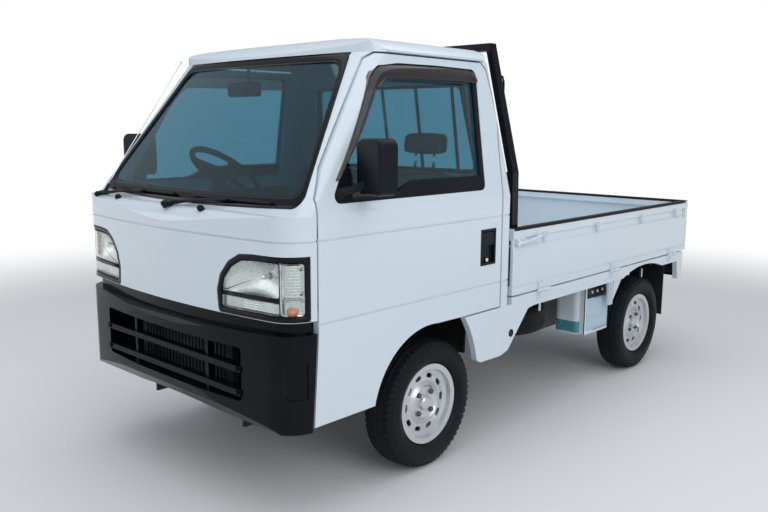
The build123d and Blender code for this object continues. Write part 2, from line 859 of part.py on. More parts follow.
# Radiator, upright behind the bumper's opening and held by tabs on the front cross member
with BuildPart() as radiator:
    block((-radiator_half, radiator_front, radiator_low),
          (radiator_half, radiator_front + radiator_depth, radiator_high))
    with Locations((0, radiator_front, (radiator_low + radiator_high) / 2)):
        with GridLocations(2 * radiator_core_half / radiator_rib_count, 1, radiator_rib_count, 1):
            Box(radiator_core_half / radiator_rib_count, 12, radiator_high - radiator_low - 70,
                mode=Mode.SUBTRACT)
    for side in sides:
        block((side * 200 - 20, radiator_front + radiator_depth - 1, radiator_low),
              (side * 200 + 20, toe_position - seal_gap, radiator_low + 22))
finish(radiator.part, "radiator")


def gate_lugs(places, reach):
    # Fixed lugs and pins for a gate's eyes, the body's face on the XZ plane.
    with BuildPart() as lugs:
        for place in places:
            for end in sides:
                centre = place + end * (gate_lug_width + 1)
                rod((centre - gate_lug_width / 2, reach, gate_pin_z),
                    (centre + gate_lug_width / 2, reach, gate_pin_z),
                    gate_lug_radius)
                block((centre - gate_lug_width / 2, -gate_lug_root, gate_pin_z - gate_lug_drop),
                      (centre + gate_lug_width / 2, reach, gate_pin_z - 1))
            rod((place - 2 * gate_lug_width, reach, gate_pin_z),
                (place + 2 * gate_lug_width, reach, gate_pin_z),
                gate_pin_radius)
    return lugs.part


# Side skin of the body: sill, arch and skirt
with BuildPart() as body_sides:
    with BuildSketch(Plane.YZ.offset(half_width - panel_thickness)):
        with BuildLine():
            Polyline((door_rear_position + door_gap, body_top_cab), (-636, body_top_cab))
            ThreePointArc((-636, body_top_cab), (-574, 498), (-546, 405))
            Polyline((-546, 405), (-520, sill_bottom_height), (-369, sill_bottom_height - 3), (-312, 402),
                     (-152, 571),
                     (-100, skirt_bottom_height), (rear_arch_front, skirt_bottom_height))
            ThreePointArc((rear_arch_front, skirt_bottom_height), (rear_axle_y - 30, arch_top_height + 4),
                          (rear_arch_rear, skirt_bottom_height + 10))
            Polyline((rear_arch_rear, skirt_bottom_height + 10), (1512, skirt_bottom_height + 10),
                     (1530, rear_post_bottom),
                     (gate_rear_y, rear_post_bottom), (gate_rear_y, body_top_bed),
                     (bed_front_position, body_top_bed),
                     (bed_front_position, body_top_cab), (door_rear_position + door_gap, body_top_cab))
        make_face()
    extrude(amount=panel_thickness)
    add(side_prism([(gusset_front, skirt_bottom_height + 2), (gusset_rear, skirt_bottom_height + 2),
                    (gusset_rear - 118, gusset_low), (gusset_front + 14, gusset_low)],
                   0, gusset_x, gusset_x + gusset_thickness))
    for shift in (0, 30, 60):
        add(side_prism([(gusset_front + shift, skirt_bottom_height + 2),
                        (gusset_front + shift + 6, skirt_bottom_height + 2),
                        (gusset_front + 20 + shift / 2, gusset_low),
                        (gusset_front + 14 + shift / 2, gusset_low)],
                       0, gusset_x, gusset_x + 3 * gusset_thickness))
    add(Pos(half_width, 0, 0) * Rot(0, 0, -90) * gate_lugs([-place for place in gate_hinge_positions],
                                                           hinge_reach))
    mirror(about=Plane.YZ)
finish(body_sides.part, "body_sides")

# Bed panels: the floor, ribbed along its length, and the fixed front board with the gates' strikers
with BuildPart() as bed_floor:
    block((-bed_half, bed_front_position + panel_thickness, bed_bottom_height),
          (bed_half, bed_rear_y, bed_plate_height))
    with Locations((0, (bed_rear_y - 14 + bed_rib_front) / 2, bed_plate_height)):
        with GridLocations(2 * bed_half / bed_rib_count, 1, bed_rib_count, 1):
            Box(bed_half / bed_rib_count, bed_rear_y - 14 - bed_rib_front, bed_rib_height,
                align=(Align.CENTER, Align.CENTER, Align.MIN))
    front_board_rear = bed_front_position + panel_thickness - seal_gap
    block((-bed_half, bed_front_position, bed_bottom_height), (bed_half, front_board_rear, gate_top_height))
    with Locations((0, front_board_rear, gate_bottom_height + gate_height / 2)):
        with GridLocations(2 * bed_half / 3, 1, 3, 1):
            Box(2 * bed_half / 3 - 60, 24, gate_height - 90, mode=Mode.SUBTRACT)
    for side in sides:
        rod((side * (bed_half - 5), bed_front_position + panel_thickness / 2, striker_height),
            (side * (bed_half + striker_reach), bed_front_position + panel_thickness / 2, striker_height), 5)
finish(bed_floor.part, "bed_floor")

# Guard frame behind the cab, leaning in with it
with BuildPart() as guard_frame:
    for side in sides:
        foot = (side * guard_foot_half, guard_y, bed_plate_height)
        knee = (side * guard_foot_half, guard_y - 10, guard_knee_height)
        top = (side * guard_top_half, guard_y - 105, guard_top_height)
        for start, end, end_depth in ((foot, knee, guard_post_depth), (knee, top, guard_post_depth - 6)):
            with BuildSketch(Plane.XY.move(Location(start))):
                Rectangle(guard_post_width, guard_post_depth)
            with BuildSketch(Plane.XY.move(Location(end))):
                Rectangle(guard_post_width, end_depth)
            loft(ruled=True)
        block((side * guard_foot_half - guard_post_width / 2, guard_y - guard_post_depth / 2,
               bed_plate_height),
              (side * guard_foot_half + guard_post_width / 2, guard_y + 40, bed_plate_height + 8))
    block((-guard_top_half - guard_post_width / 2, guard_y - 125, guard_top_height - guard_bar_height),
          (guard_top_half + guard_post_width / 2, guard_y - 85, guard_top_height))
    block((-guard_foot_half, guard_y - 28, guard_knee_height - guard_bar_height),
          (guard_foot_half, guard_y + 6, guard_knee_height))
    for position in (-330, -110, 110, 330):
        rod((position, guard_y - 11, guard_knee_height - 10),
            (position, guard_y - 105, guard_top_height - 10), 8)
finish(guard_frame.part, "guard_frame")

# Frame rails and cross members
with BuildPart() as bed_frame:
    for side in sides:
        rail = side_prism([(toe_position, rail_front_bottom), (toe_position, rail_front_height),
                           (-600, rail_front_height), (-380, rail_rear_top), (gate_rear_y, rail_rear_top),
                           (gate_rear_y, rail_rear_bottom), (-340, rail_rear_bottom),
                           (-560, rail_front_bottom)],
                          0, side * rail_spacing / 2 - rail_width / 2,
                          side * rail_spacing / 2 + rail_width / 2)
        add(rail)
    for position in cross_member_positions:
        block((-bed_half, position - cross_member_half, rail_rear_top),
              (bed_half, position + cross_member_half, bed_bottom_height))
    for position in (toe_position, -640):
        block((-rail_spacing / 2, position, rail_front_height - 60),
              (rail_spacing / 2, position + 40, rail_front_height - 10))
    block((-bed_half, gate_rear_y - 40, rear_post_bottom + 30),
          (bed_half, gate_rear_y, bed_bottom_height - seal_gap))
    add(Pos(0, gate_rear_y, 0) * gate_lugs(tailgate_hinge_positions,
                                           tail_position + hinge_reach - gate_rear_y))
    for side in sides:
        for end in sides:
            eye_y = rear_axle_y + end * spring_half
            cheek = spring_eye_half + seal_gap
            block((side * spring_x - cheek - hanger_plate, eye_y - 14, spring_eye_height + 30),
                  (side * spring_x + cheek + hanger_plate, eye_y + 14, rail_rear_top + 1))
            for edge in sides:
                near = side * spring_x + edge * cheek
                block((near, eye_y - 14, spring_eye_height - 14),
                      (near + edge * hanger_plate, eye_y + 14, spring_eye_height + 31))
        for (eye_y, eye_z), top in ((front_tow_eye, rail_front_bottom), (rear_tow_eye, rail_rear_bottom)):
            near = side * rail_inner
            far = side * (rail_inner + tow_eye_thickness)
            block((near, eye_y - tow_eye_half, eye_z - tow_eye_half), (far, eye_y + tow_eye_half, top + 2))
            rod((near - side, eye_y, eye_z), (far + side, eye_y, eye_z), tow_eye_radius, Mode.SUBTRACT)
        rod((side * plate_hole_x, gate_rear_y - 45, plate_hole_height),
            (side * plate_hole_x, gate_rear_y + 5, plate_hole_height), plate_hole_radius, Mode.SUBTRACT)
finish(bed_frame.part, "bed_frame")


# Tyre and wheel sections, revolved about the axle
def tyre_solid():
    # A tyre ring centred on the origin, its axle along X.
    half = tyre_width / 2
    bead = rim_width / 2 - 8
    with BuildPart() as tyre:
        with BuildSketch(Plane.XY):
            with BuildLine():
                right = [(bead, rim_radius + seal_gap), (bead, rim_flange_radius + 1),
                         (half - 6, rim_flange_radius + 14), (half, tyre_radius - 60),
                         (half - 4, tyre_radius - 28),
                         (half - 13, tyre_radius - 8), (half - 34, tyre_radius - 1), (0, tyre_radius)]
                Polyline(*right, *[(-x, y) for x, y in reversed(right[:-1])], close=True)
            make_face()
        revolve(axis=Axis.X)
    return tyre.part


def rim_solid():
    # A pressed steel wheel centred on the origin, its outer face towards positive X.
    half = rim_width / 2
    with BuildPart() as rim:
        with BuildSketch(Plane.XY):
            with BuildLine():
                Polyline((-half, rim_flange_radius), (-half + 5, rim_flange_radius), (-half + 7, rim_radius),
                         (-20, rim_radius), (-14, rim_well_radius), (10, rim_well_radius), (20, rim_radius),
                         (half - 7, rim_radius), (half - 5, rim_flange_radius), (half, rim_flange_radius))
                Polyline((half, rim_flange_radius), (half - 2, rim_radius - 6), (34, rim_radius - 9),
                         (26, 122),
                         (28, 92), (40, 76), (31, 66), (29, 34), (hub_cap_reach - 6, 30), (hub_cap_reach, 22),
                         (hub_cap_reach, 0), (-10, 0), (-10, 60), (22, 60), (24, 70), (32, 78), (20, 92),
                         (18, 126),
                         (-22, 126), (-27, rim_radius - 6), (-half + 2, rim_radius - 6),
                         (-half, rim_flange_radius))
            make_face()
        revolve(axis=Axis.X)
        with BuildSketch(Plane.YZ):
            with PolarLocations(vent_circle_radius, vent_count):
                SlotOverall(vent_length, vent_width, rotation=90)
        extrude(amount=60, mode=Mode.SUBTRACT)
        with BuildSketch(Plane.YZ):
            with PolarLocations(stud_circle_radius, 4, start_angle=45):
                RegularPolygon(9, 6)
        extrude(amount=37)
        rod((-30, 0, 0), (31, 0, 0), hub_bore_radius + pin_clearance, mode=Mode.SUBTRACT)
    return rim.part


tyre_shape = tyre_solid()
rim_shape = rim_solid()
for axle, axle_y in (("front", front_axle_y), ("rear", rear_axle_y)):
    for name, side in (("left", 1), ("right", -1)):
        place = Pos(side * track / 2, axle_y, tyre_radius)
        for kind, shape in (("tyre", tyre_shape), ("rim", rim_shape)):
            turned = shape if side > 0 else mirror(shape, Plane.YZ)
            with BuildPart() as wheel:
                add(place * turned)
            finish(wheel.part, kind + "_" + axle + "_" + name)


def steer_point(side, height):
    # A point on the leaning steering axis at a given height.
    share = (height - steer_axis_low[1]) / (steer_axis_high[1] - steer_axis_low[1])
    return (side * (steer_axis_low[0] + (steer_axis_high[0] - steer_axis_low[0]) * share), front_axle_y,
            height)


# Steered knuckles, each with its strut, spindle and steering arm
for name, side in (("left", 1), ("right", -1)):
    with BuildPart() as knuckle:
        rod(steer_point(side, steer_axis_low[1] - 26), steer_point(side, steer_axis_low[1] + 20),
            ball_pin_radius)
        rod(steer_point(side, steer_axis_low[1] + 18), steer_point(side, steer_axis_low[1] + 42), 12)
        rod(steer_point(side, steer_axis_low[1] + 40), steer_point(side, 360), 30)
        rod(steer_point(side, 340), steer_point(side, 600), strut_radius)
        rod((side * 540, front_axle_y, tyre_radius), (side * hub_face, front_axle_y, tyre_radius), 34)
        rod((side * hub_face, front_axle_y, tyre_radius), (side * spindle_end, front_axle_y, tyre_radius),
            hub_bore_radius)
        rod((side * 545, front_axle_y, rack_height - 8),
            (side * 520, front_axle_y + rack_set_back - 3, rack_height), 11)
    finish(knuckle.part, "knuckle_" + name)

# Front suspension: lower arms, strut seats and steering rack
with BuildPart() as front_suspension:
    for side in sides:
        low = steer_point(side, steer_axis_low[1] - 10)
        pivot_x = side * rail_spacing / 2
        for shift in arm_pivot_shifts:
            pivot_y = front_axle_y + shift
            rod((pivot_x, pivot_y, arm_pivot_height), low, 14)
            rod((pivot_x, pivot_y - 22, arm_pivot_height), (pivot_x, pivot_y + 22, arm_pivot_height),
                arm_pivot_radius)
            block((pivot_x - 12, pivot_y - 18, arm_pivot_height),
                  (pivot_x + 12, pivot_y + 18, rail_front_bottom - seal_gap))
        rod(steer_point(side, steer_axis_low[1] - 24), steer_point(side, steer_axis_low[1] + 4), 22)
        rod(steer_point(side, 566), steer_point(side, seat_base_height - floor_plate - 16), 46)
        seat_x = side * (steer_axis_high[0] + 8)
        block((seat_x - 56, front_axle_y - 56, 596),
              (seat_x + 56, front_axle_y + 56, seat_base_height - floor_plate - seal_gap))
        rod(steer_point(side, steer_axis_low[1] - 40), steer_point(side, steer_axis_low[1] + 22),
            ball_pin_radius + pin_clearance, mode=Mode.SUBTRACT)
        rod(steer_point(side, 550), steer_point(side, 602), strut_radius + pin_clearance, mode=Mode.SUBTRACT)
    rod((-rack_half, rack_y, rack_height), (rack_half, rack_y, rack_height), rack_radius)
    for side in sides:
        block((side * rail_spacing / 2 - 20, rack_y - 12, rack_height),
              (side * rail_spacing / 2 + 20, rack_y + 12, rail_front_bottom - seal_gap))
finish(front_suspension.part, "front_suspension")

# Rear axle beam with its spindles, on leaf springs
with BuildPart() as rear_axle:
    rod((-track / 2 + 40, rear_axle_y, tyre_radius), (track / 2 - 40, rear_axle_y, tyre_radius), axle_radius)
    for side in sides:
        rod((side * (hub_face - 34), rear_axle_y, tyre_radius), (side * hub_face, rear_axle_y, tyre_radius),
            drum_radius)
        rod((side * hub_face, rear_axle_y, tyre_radius), (side * spindle_end, rear_axle_y, tyre_radius),
            hub_bore_radius)
        for reach, end_height, middle_height, leaf in spring_leaves:
            front = rear_axle_y - reach
            rear = rear_axle_y + reach
            with BuildSketch(Plane.YZ.offset(side * spring_x - spring_width / 2)):
                with BuildLine():
                    ThreePointArc((front, end_height), (rear_axle_y, middle_height), (rear, end_height))
                    Line((rear, end_height), (rear, end_height + leaf))
                    ThreePointArc((rear, end_height + leaf), (rear_axle_y, middle_height + leaf),
                                  (front, end_height + leaf))
                    Line((front, end_height + leaf), (front, end_height))
                make_face()
            extrude(amount=spring_width)
        for end in sides:
            eye_y = rear_axle_y + end * spring_half
            rod((side * spring_x - spring_eye_half, eye_y, spring_eye_height + 4),
                (side * spring_x + spring_eye_half, eye_y, spring_eye_height + 4), spring_eye_radius)
        block((side * spring_x - 38, rear_axle_y - 40, tyre_radius - 40),
              (side * spring_x + 38, rear_axle_y + 40, tyre_radius + 58))
finish(rear_axle.part, "rear_axle")

# Engine, ahead of the rear axle
with BuildPart() as engine:
    block((-engine_half, engine_front, engine_bottom),
          (engine_half, engine_rear, engine_bottom + engine_height))
    fillet(engine.edges().filter_by(Axis.X), 40)
    for position in engine_foot_positions:
        block((-rail_spacing / 2, position - 30, rail_rear_bottom - 50),
              (rail_spacing / 2, position + 30, rail_rear_bottom - seal_gap))
finish(engine.part, "engine")

# Fuel tank on the right, under the bed
with BuildPart() as fuel_tank:
    block((-bed_half + 10, tank_front, tank_bottom),
          (-rail_spacing / 2 - 40, tank_rear, rail_rear_top - seal_gap))
    fillet(fuel_tank.edges().filter_by(Axis.Y), 30)
finish(fuel_tank.part, "fuel_tank")

# Coolant tank and the battery in its box, on the left ahead of the rear wheel
with BuildPart() as coolant_tank:
    block(coolant_low, coolant_high + (rail_rear_top - seal_gap,))
    fillet(coolant_tank.edges().filter_by(Axis.Z), coolant_radius)
    fillet(coolant_tank.faces().sort_by(Axis.Z)[0].edges(), 12)

with BuildPart() as coolant_and_battery:
    block(battery_low, battery_high + (rail_rear_top - seal_gap,))
    fillet(coolant_and_battery.edges().filter_by(Axis.Z), 8)
    outer_x = battery_high[0]
    front = battery_low[1] + battery_border
    rear = battery_high[1] - battery_border
    block((outer_x - battery_cover_depth, front, battery_low[2] + battery_border),
          (outer_x + 1, rear, battery_cover_top),
          mode=Mode.SUBTRACT)
    block((outer_x - 60, front, battery_cover_top + battery_border),
          (outer_x + 1, rear, rail_rear_top - battery_border),
          mode=Mode.SUBTRACT)
    add(coolant_tank.part)
finish(coolant_and_battery.part, "coolant_and_battery")

# Spare wheel lying under the front of the bed
with BuildPart() as spare_wheel:
    with BuildSketch(Plane.XZ):
        with BuildLine():
            half = tyre_width / 2
            Polyline((0, -20), (110, -20), (118, -58), (rim_radius, -50), (rim_flange_radius + 8, -half + 10),
                     (tyre_radius - 60, -half), (tyre_radius - 12, -half + 10), (tyre_radius, -half + 34),
                     (tyre_radius, half - 34), (tyre_radius - 12, half - 10), (tyre_radius - 60, half),
                     (rim_flange_radius, half - 14), (0, half - 14), close=True)
        make_face()
    revolve(axis=Axis.Z)
spare_place = Pos(spare_x, spare_y, rail_rear_top - rail_height - tyre_width / 2 - 2 * seal_gap)
finish(spare_place * spare_wheel.part, "spare_wheel")

# Exhaust with its silencer across the tail
with BuildPart() as exhaust:
    rod((-330, silencer_y, silencer_height), (250, silencer_y, silencer_height), silencer_radius)
    rod((-280, engine_rear, silencer_height), (-280, silencer_y, silencer_height), 20)
    rod((180, silencer_y, silencer_height - 20), (180, tail_position - 30, silencer_height - 20), 16)
    block((200, silencer_y - 10, silencer_height + 40),
          (rail_inner + 20, silencer_y + 10, silencer_height + 60))
    for side in sides:
        block((side * (rail_inner + 10) - 10, silencer_y - 10, silencer_height + 40),
              (side * (rail_inner + 10) + 10, silencer_y + 10, rail_rear_bottom - seal_gap))
finish(exhaust.part, "exhaust")

# Tail lamps, hung below the bed's rear corners
with BuildPart() as tail_lamps:
    block((tail_lamp_inner, gate_rear_y + seal_gap, tail_lamp_bottom),
          (tail_lamp_outer, tail_position - 6, tail_lamp_top))
    fillet(tail_lamps.edges().filter_by(Axis.Y), 12)
    fillet(tail_lamps.faces().sort_by(Axis.Y)[-1].edges(), 4)
    for share in (1 / 3, 2 / 3):
        joint_x = tail_lamp_inner + (tail_lamp_outer - tail_lamp_inner) * share
        block((joint_x - 1.5, tail_position - 10, tail_lamp_bottom - 1),
              (joint_x + 1.5, tail_position, tail_lamp_top + 1),
              mode=Mode.SUBTRACT)
    mirror(about=Plane.YZ)
finish(tail_lamps.part, "tail_lamps")

# Mud flaps behind the rear wheels
with BuildPart() as mud_flaps:
    block((flap_inner, flap_y, flap_bottom),
          (half_width - panel_thickness - seal_gap, flap_y + 6, skirt_bottom_height + 22))
    mirror(about=Plane.YZ)
finish(mud_flaps.part, "mud_flaps")

# Doors: panel, glass and black trim with the mirror
with BuildPart() as door_left:
    add(lower_skin)
    add(upper_skin)
    add(door_volume(0), mode=Mode.INTERSECT)
    add(belt_crease, mode=Mode.SUBTRACT)
    add(door_crease, mode=Mode.SUBTRACT)
    add(window_prism(0), mode=Mode.SUBTRACT)
    for height in door_hinge_heights:
        block((half_width - door_thickness - 20, door_front_position - 90, height - hinge_slot_height / 2),
              (door_pin_x + 7.5, door_pin_y + 15, height + hinge_slot_height / 2), mode=Mode.SUBTRACT)
        rod((door_pin_x, door_pin_y, height - hinge_pin_half - 2),
            (door_pin_x, door_pin_y, height + hinge_pin_half + 2),
            hinge_pin_radius + pin_clearance, mode=Mode.SUBTRACT)
    block((half_width - handle_depth, handle_position - handle_width / 2, handle_height - handle_rise / 2),
          (half_width + 50, handle_position + handle_width / 2, handle_height + handle_rise / 2),
          mode=Mode.SUBTRACT)

with BuildPart() as door_glass:
    add(upper_cab(door_glass_set_in, belt_height, header_height))
    add(upper_cab(door_glass_set_in + glass_thickness, belt_height - 10, header_height + 10),
        mode=Mode.SUBTRACT)
    add(window_prism(-seal_gap), mode=Mode.INTERSECT)

# The mirror's housing, a box with rounded corners
with BuildPart() as door_mirror:
    with Locations(Location(mirror_centre, (0, 0, mirror_turn))):
        Box(mirror_width, mirror_depth, mirror_height)
    fillet(door_mirror.edges().group_by(SortBy.LENGTH)[0], mirror_corner_radius)
    fillet(door_mirror.faces().sort_by(Axis.Y)[0].edges(), mirror_edge_radius)

with BuildPart() as door_trim:
    add(upper_cab(2, belt_height, header_height))
    add(upper_cab(door_glass_set_in - seal_gap, belt_height - 10, header_height + 10), mode=Mode.SUBTRACT)
    add(window_prism(-seal_gap), mode=Mode.INTERSECT)
    add(side_prism(garnish_points, 0, 300, 900), mode=Mode.INTERSECT)
    add(door_mirror.part)
    rod((682, -1336, 1184), (722, -1290, 1196), 13)
    handle_front = handle_position - handle_width / 2 + seal_gap
    handle_rear = handle_position + handle_width / 2 - seal_gap
    handle_low = handle_height - handle_rise / 2 + seal_gap
    handle_high = handle_height + handle_rise / 2 - seal_gap
    block((half_width - handle_depth + seal_gap, handle_front, handle_low),
          (half_width + 2, handle_rear, handle_high))
    block((half_width + 2 - handle_scoop, handle_front + handle_border, handle_low + handle_border),
          (half_width + 3, handle_rear - handle_border, handle_high - handle_border), mode=Mode.SUBTRACT)
    add(side_prism([(handle_front + handle_border + 4, handle_height + 8),
                    (handle_rear - handle_border - 4, handle_height + 8),
                    (handle_rear - handle_border - 4, handle_high - handle_border - 4),
                    (handle_front + handle_border + 4, handle_high - handle_border - 4)],
                   6, half_width - handle_depth + 2, half_width))

for name, side in (("left", 1), ("right", -1)):
    for kind, piece in (("door", door_left), ("door_glass", door_glass), ("door_trim", door_trim)):
        finish(piece.part if side > 0 else mirror(piece.part, Plane.YZ), kind + "_" + name)


def gate_section(depth, half_length):
    # A gate's pressed section, with its rolled rail, panel and foot, as an upright prism along X.
    low = gate_bottom_height
    top = gate_top_height
    with BuildPart() as gate:
        with BuildSketch(Plane.YZ.offset(-half_length)):
            with BuildLine():
                Polyline((0, low), (0, low + 26), (-4, low + 30), (-4, low + 36), (-1, low + 40),
                         (-1, top - 92),
                         (-6, top - 80), (-6, top - 52), (0, top - 44), (0, top - 4), (-4, top))
                Polyline((-4, top), (-depth + 4, top), (-depth, top - 4), (-depth, top - 44), (-16, top - 56),
                         (-16, low + 44), (-depth, low + 34), (-depth, low), (0, low))
            make_face()
        extrude(amount=2 * half_length)
    return gate.part


def hinge_eyes(places, spread):
    # Straps with eyes along a gate's foot, the outer face on the XZ plane.
    with BuildPart() as eyes:
        for place in places:
            low_x = place - gate_lug_width / 2
            high_x = place + gate_lug_width / 2
            rod((low_x, spread, gate_pin_z), (high_x, spread, gate_pin_z), gate_lug_radius)
            block((low_x, -2, gate_bottom_height + 2), (high_x, spread, gate_bottom_height + 34))
            block((low_x, spread - 5, gate_pin_z), (high_x, spread + 4, gate_bottom_height + 34))
            rod((low_x - 4, spread, gate_pin_z), (high_x + 4, spread, gate_pin_z),
                gate_pin_radius + pin_clearance,
                mode=Mode.SUBTRACT)
    return eyes.part


def rope_hooks(places):
    # Bent pegs under a gate's rolled rail, the outer face on the XZ plane.
    with BuildPart() as hooks:
        for place in places:
            block((place - 5, -8, rope_hook_height + 6), (place + 5, 12, rope_hook_height + 14))
            block((place - 5, 6, rope_hook_height - 20), (place + 5, 12, rope_hook_height + 14))
    return hooks.part


def gate_latch(end, direction):
    # A gate's catch near one end: a plate, a pivot and a lever lying along the gate.
    near = end + direction * latch_inset
    pivot = near + direction * 22
    with BuildPart() as latch:
        block((near, -8, latch_height - 26), (near + direction * 46, 4, latch_height + 16))
        rod((pivot, 0, latch_height), (pivot, 16, latch_height), 9)
        block((pivot - direction * 26, 8, latch_height - 5),
              (pivot + direction * latch_length, 14, latch_height + 7))
        block((pivot + direction * (latch_length - 24), -8, latch_height - 3),
              (pivot + direction * (latch_length - 12), 10, latch_height + 5))
    return latch.part


gate_length = gate_rear_y - bed_front_position - 2
gate_middle = (gate_rear_y + bed_front_position) / 2
with BuildPart() as side_gate:
    add(gate_section(gate_thickness, gate_length / 2))
    add(hinge_eyes([gate_middle - place for place in gate_hinge_positions], hinge_reach))
    add(rope_hooks([gate_middle - place for place in rope_hook_positions]))
    add(gate_latch(gate_length / 2, -1))
    slot_middle = gate_middle - catch_slot_position
    block((slot_middle - 11, -12, catch_slot_low), (slot_middle + 11, 1, catch_slot_high), mode=Mode.SUBTRACT)
side_gate_left = Pos(half_width, gate_middle, 0) * Rot(0, 0, -90) * side_gate.part
finish(mirror(side_gate_left, Plane.YZ), "side_gate_right")
finish(side_gate_left, "side_gate_left")

with BuildPart() as tailgate:
    add(gate_section(tailgate_thickness, half_width - 6))
    add(hinge_eyes(tailgate_hinge_positions, hinge_reach))
    add(rope_hooks(tailgate_hook_positions))
    for side in sides:
        add(gate_latch(side * (half_width - 6), -side))
finish(Pos(0, tail_position, 0) * tailgate.part, "tailgate")

# Wipers, parked along the foot of the windscreen
with BuildPart() as wipers:
    for pivot_x in wiper_pivots:
        roll_y = nose_y - 1 + cowl_radius
        roll_z = belt_height - cowl_radius
        lean = radians(wiper_pivot_lean)
        base = (pivot_x, roll_y - (cowl_radius + seal_gap) * sin(lean),
                roll_z + (cowl_radius + seal_gap) * cos(lean))
        cap = (pivot_x, base[1] - 16 * sin(lean), base[2] + 16 * cos(lean))
        start, middle, end = [(pivot_x + reach,
                               windscreen_y(pivot_x + reach, blade_height) - blade_stand_off, blade_height)
                              for reach in (blade_start, wiper_length, blade_end)]
        rod(base, cap, 11)
        rod(cap, middle, 5)
        rod(start, end, blade_radius)
finish(wipers.part, "wipers")
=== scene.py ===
import json
import math
import bmesh
import bpy
import numpy as np
from mathutils import Matrix, Vector


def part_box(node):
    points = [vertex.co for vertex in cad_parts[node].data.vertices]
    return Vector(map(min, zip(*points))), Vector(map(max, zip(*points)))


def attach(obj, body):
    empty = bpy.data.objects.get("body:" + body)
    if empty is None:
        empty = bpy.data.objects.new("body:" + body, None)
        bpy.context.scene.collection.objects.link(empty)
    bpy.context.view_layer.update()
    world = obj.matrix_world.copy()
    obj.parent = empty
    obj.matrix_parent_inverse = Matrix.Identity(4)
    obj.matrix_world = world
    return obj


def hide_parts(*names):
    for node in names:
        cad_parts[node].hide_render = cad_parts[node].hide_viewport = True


# A white kei truck: the CAD frame gets its finishes here, and the pieces that CAD leaves plain are dressed.
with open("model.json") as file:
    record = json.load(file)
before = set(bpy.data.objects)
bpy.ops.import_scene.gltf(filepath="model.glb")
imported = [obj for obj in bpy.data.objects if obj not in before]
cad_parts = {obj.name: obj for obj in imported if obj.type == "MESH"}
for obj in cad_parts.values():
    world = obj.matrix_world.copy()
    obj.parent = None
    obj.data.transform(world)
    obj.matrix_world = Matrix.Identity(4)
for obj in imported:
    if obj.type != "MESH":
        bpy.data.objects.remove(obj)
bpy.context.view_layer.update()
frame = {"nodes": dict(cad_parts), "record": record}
nodes = frame["nodes"]
print("frame loaded:", len(nodes), "nodes")

# Sizes of the frame, in metres
half = 0.6975  # half the cab's width
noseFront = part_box("nose_panel")[0].y
beltHeight = 1.108
cabLean = 0.145  # how far the glasshouse leans in per metre of height
glassRake = 0.727
glassFootY = noseFront + 0.080
glassBow = 0.034
wheelBodies = {"front_left": 1, "front_right": -1, "rear_left": 1, "rear_right": -1}
bodySides = {"left": 1, "right": -1}
axleHeight = sum(corner.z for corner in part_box("tyre_front_left")) / 2


# Helpers for surfaces worked out as whole arrays
def placed(x, y, z):
    # Three coordinates of matching shapes as one array of points.
    return np.stack(np.broadcast_arrays(x, y, z), -1)


def gridFaces(rows, cols, closeRows=False, closeCols=True):
    # Quads between neighbours on a grid, wrapping round where a direction is closed.
    r = np.arange(rows if closeRows else rows - 1)[:, None]
    c = np.arange(cols if closeCols else cols - 1)[None, :]
    nextR, nextC = (r + 1) % rows, (c + 1) % cols
    corners = (r * cols + c, r * cols + nextC, nextR * cols + nextC, nextR * cols + c)
    return np.stack(np.broadcast_arrays(*corners), -1).reshape(-1, 4).tolist()


def cappedFaces(rows, cols):
    # The quads between closed rings, with one face over the first ring and one over the last.
    return gridFaces(rows, cols) + [list(range(cols))[::-1], list(range((rows - 1) * cols, rows * cols))]


def addPiece(name, verts, faces, material, body, slot=None, smooth=True, bevel=0, thick=0, segments=2):
    mesh = bpy.data.meshes.new(name)
    mesh.from_pydata(np.asarray(verts, float).reshape(-1, 3).tolist(), [], faces)
    work = bmesh.new()
    work.from_mesh(mesh)
    bmesh.ops.remove_doubles(work, verts=work.verts, dist=1e-6)
    bmesh.ops.recalc_face_normals(work, faces=work.faces)
    work.to_mesh(mesh)
    work.free()
    mesh.materials.append(material)
    mesh.polygons.foreach_set("use_smooth", [smooth] * len(mesh.polygons))
    piece = bpy.data.objects.new(name, mesh)
    bpy.context.scene.collection.objects.link(piece)
    if thick:
        wall = piece.modifiers.new("wall", "SOLIDIFY")
        wall.thickness, wall.offset = thick, 0
    if bevel:
        edge = piece.modifiers.new("edge", "BEVEL")
        edge.width, edge.segments, edge.limit_method = bevel, segments, "ANGLE"
        edge.angle_limit, edge.harden_normals = math.radians(35), True
    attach(piece, body)
    return piece


def gridPiece(name, points, material, body, closeRows=False, closeCols=False, caps=False, **options):
    rows, cols = points.shape[:2]
    faces = cappedFaces(rows, cols) if caps else gridFaces(rows, cols, closeRows, closeCols)
    return addPiece(name, points, faces, material, body, **options)


def discPiece(name, points, material, body, **options):
    # Rings that shrink to the middle of an outline, with the last one closed by a face.
    rows, cols = points.shape[:2]
    faces = gridFaces(rows, cols) + [list(range((rows - 1) * cols, rows * cols))]
    return addPiece(name, points, faces, material, body, **options)


def hardPiece(name, parts, material, body, bevel, segments=2):
    # Flat-faced parts as one piece, with their edges rounded.
    return addPiece(name, *joined(parts), material, body, smooth=False, bevel=bevel, segments=segments)


def joined(parts):
    # Several (points, faces) surfaces as one list of points and one of faces.
    starts = np.cumsum([0] + [len(points) for points, faces in parts[:-1]])
    verts = np.concatenate([points for points, faces in parts])
    shifted = [[i + int(start) for i in face] for start,
               (points, faces) in zip(starts, parts) for face in faces]
    return verts, shifted


def rectangle(left, low, right, high):
    return [(left, low), (right, low), (right, high), (left, high)]


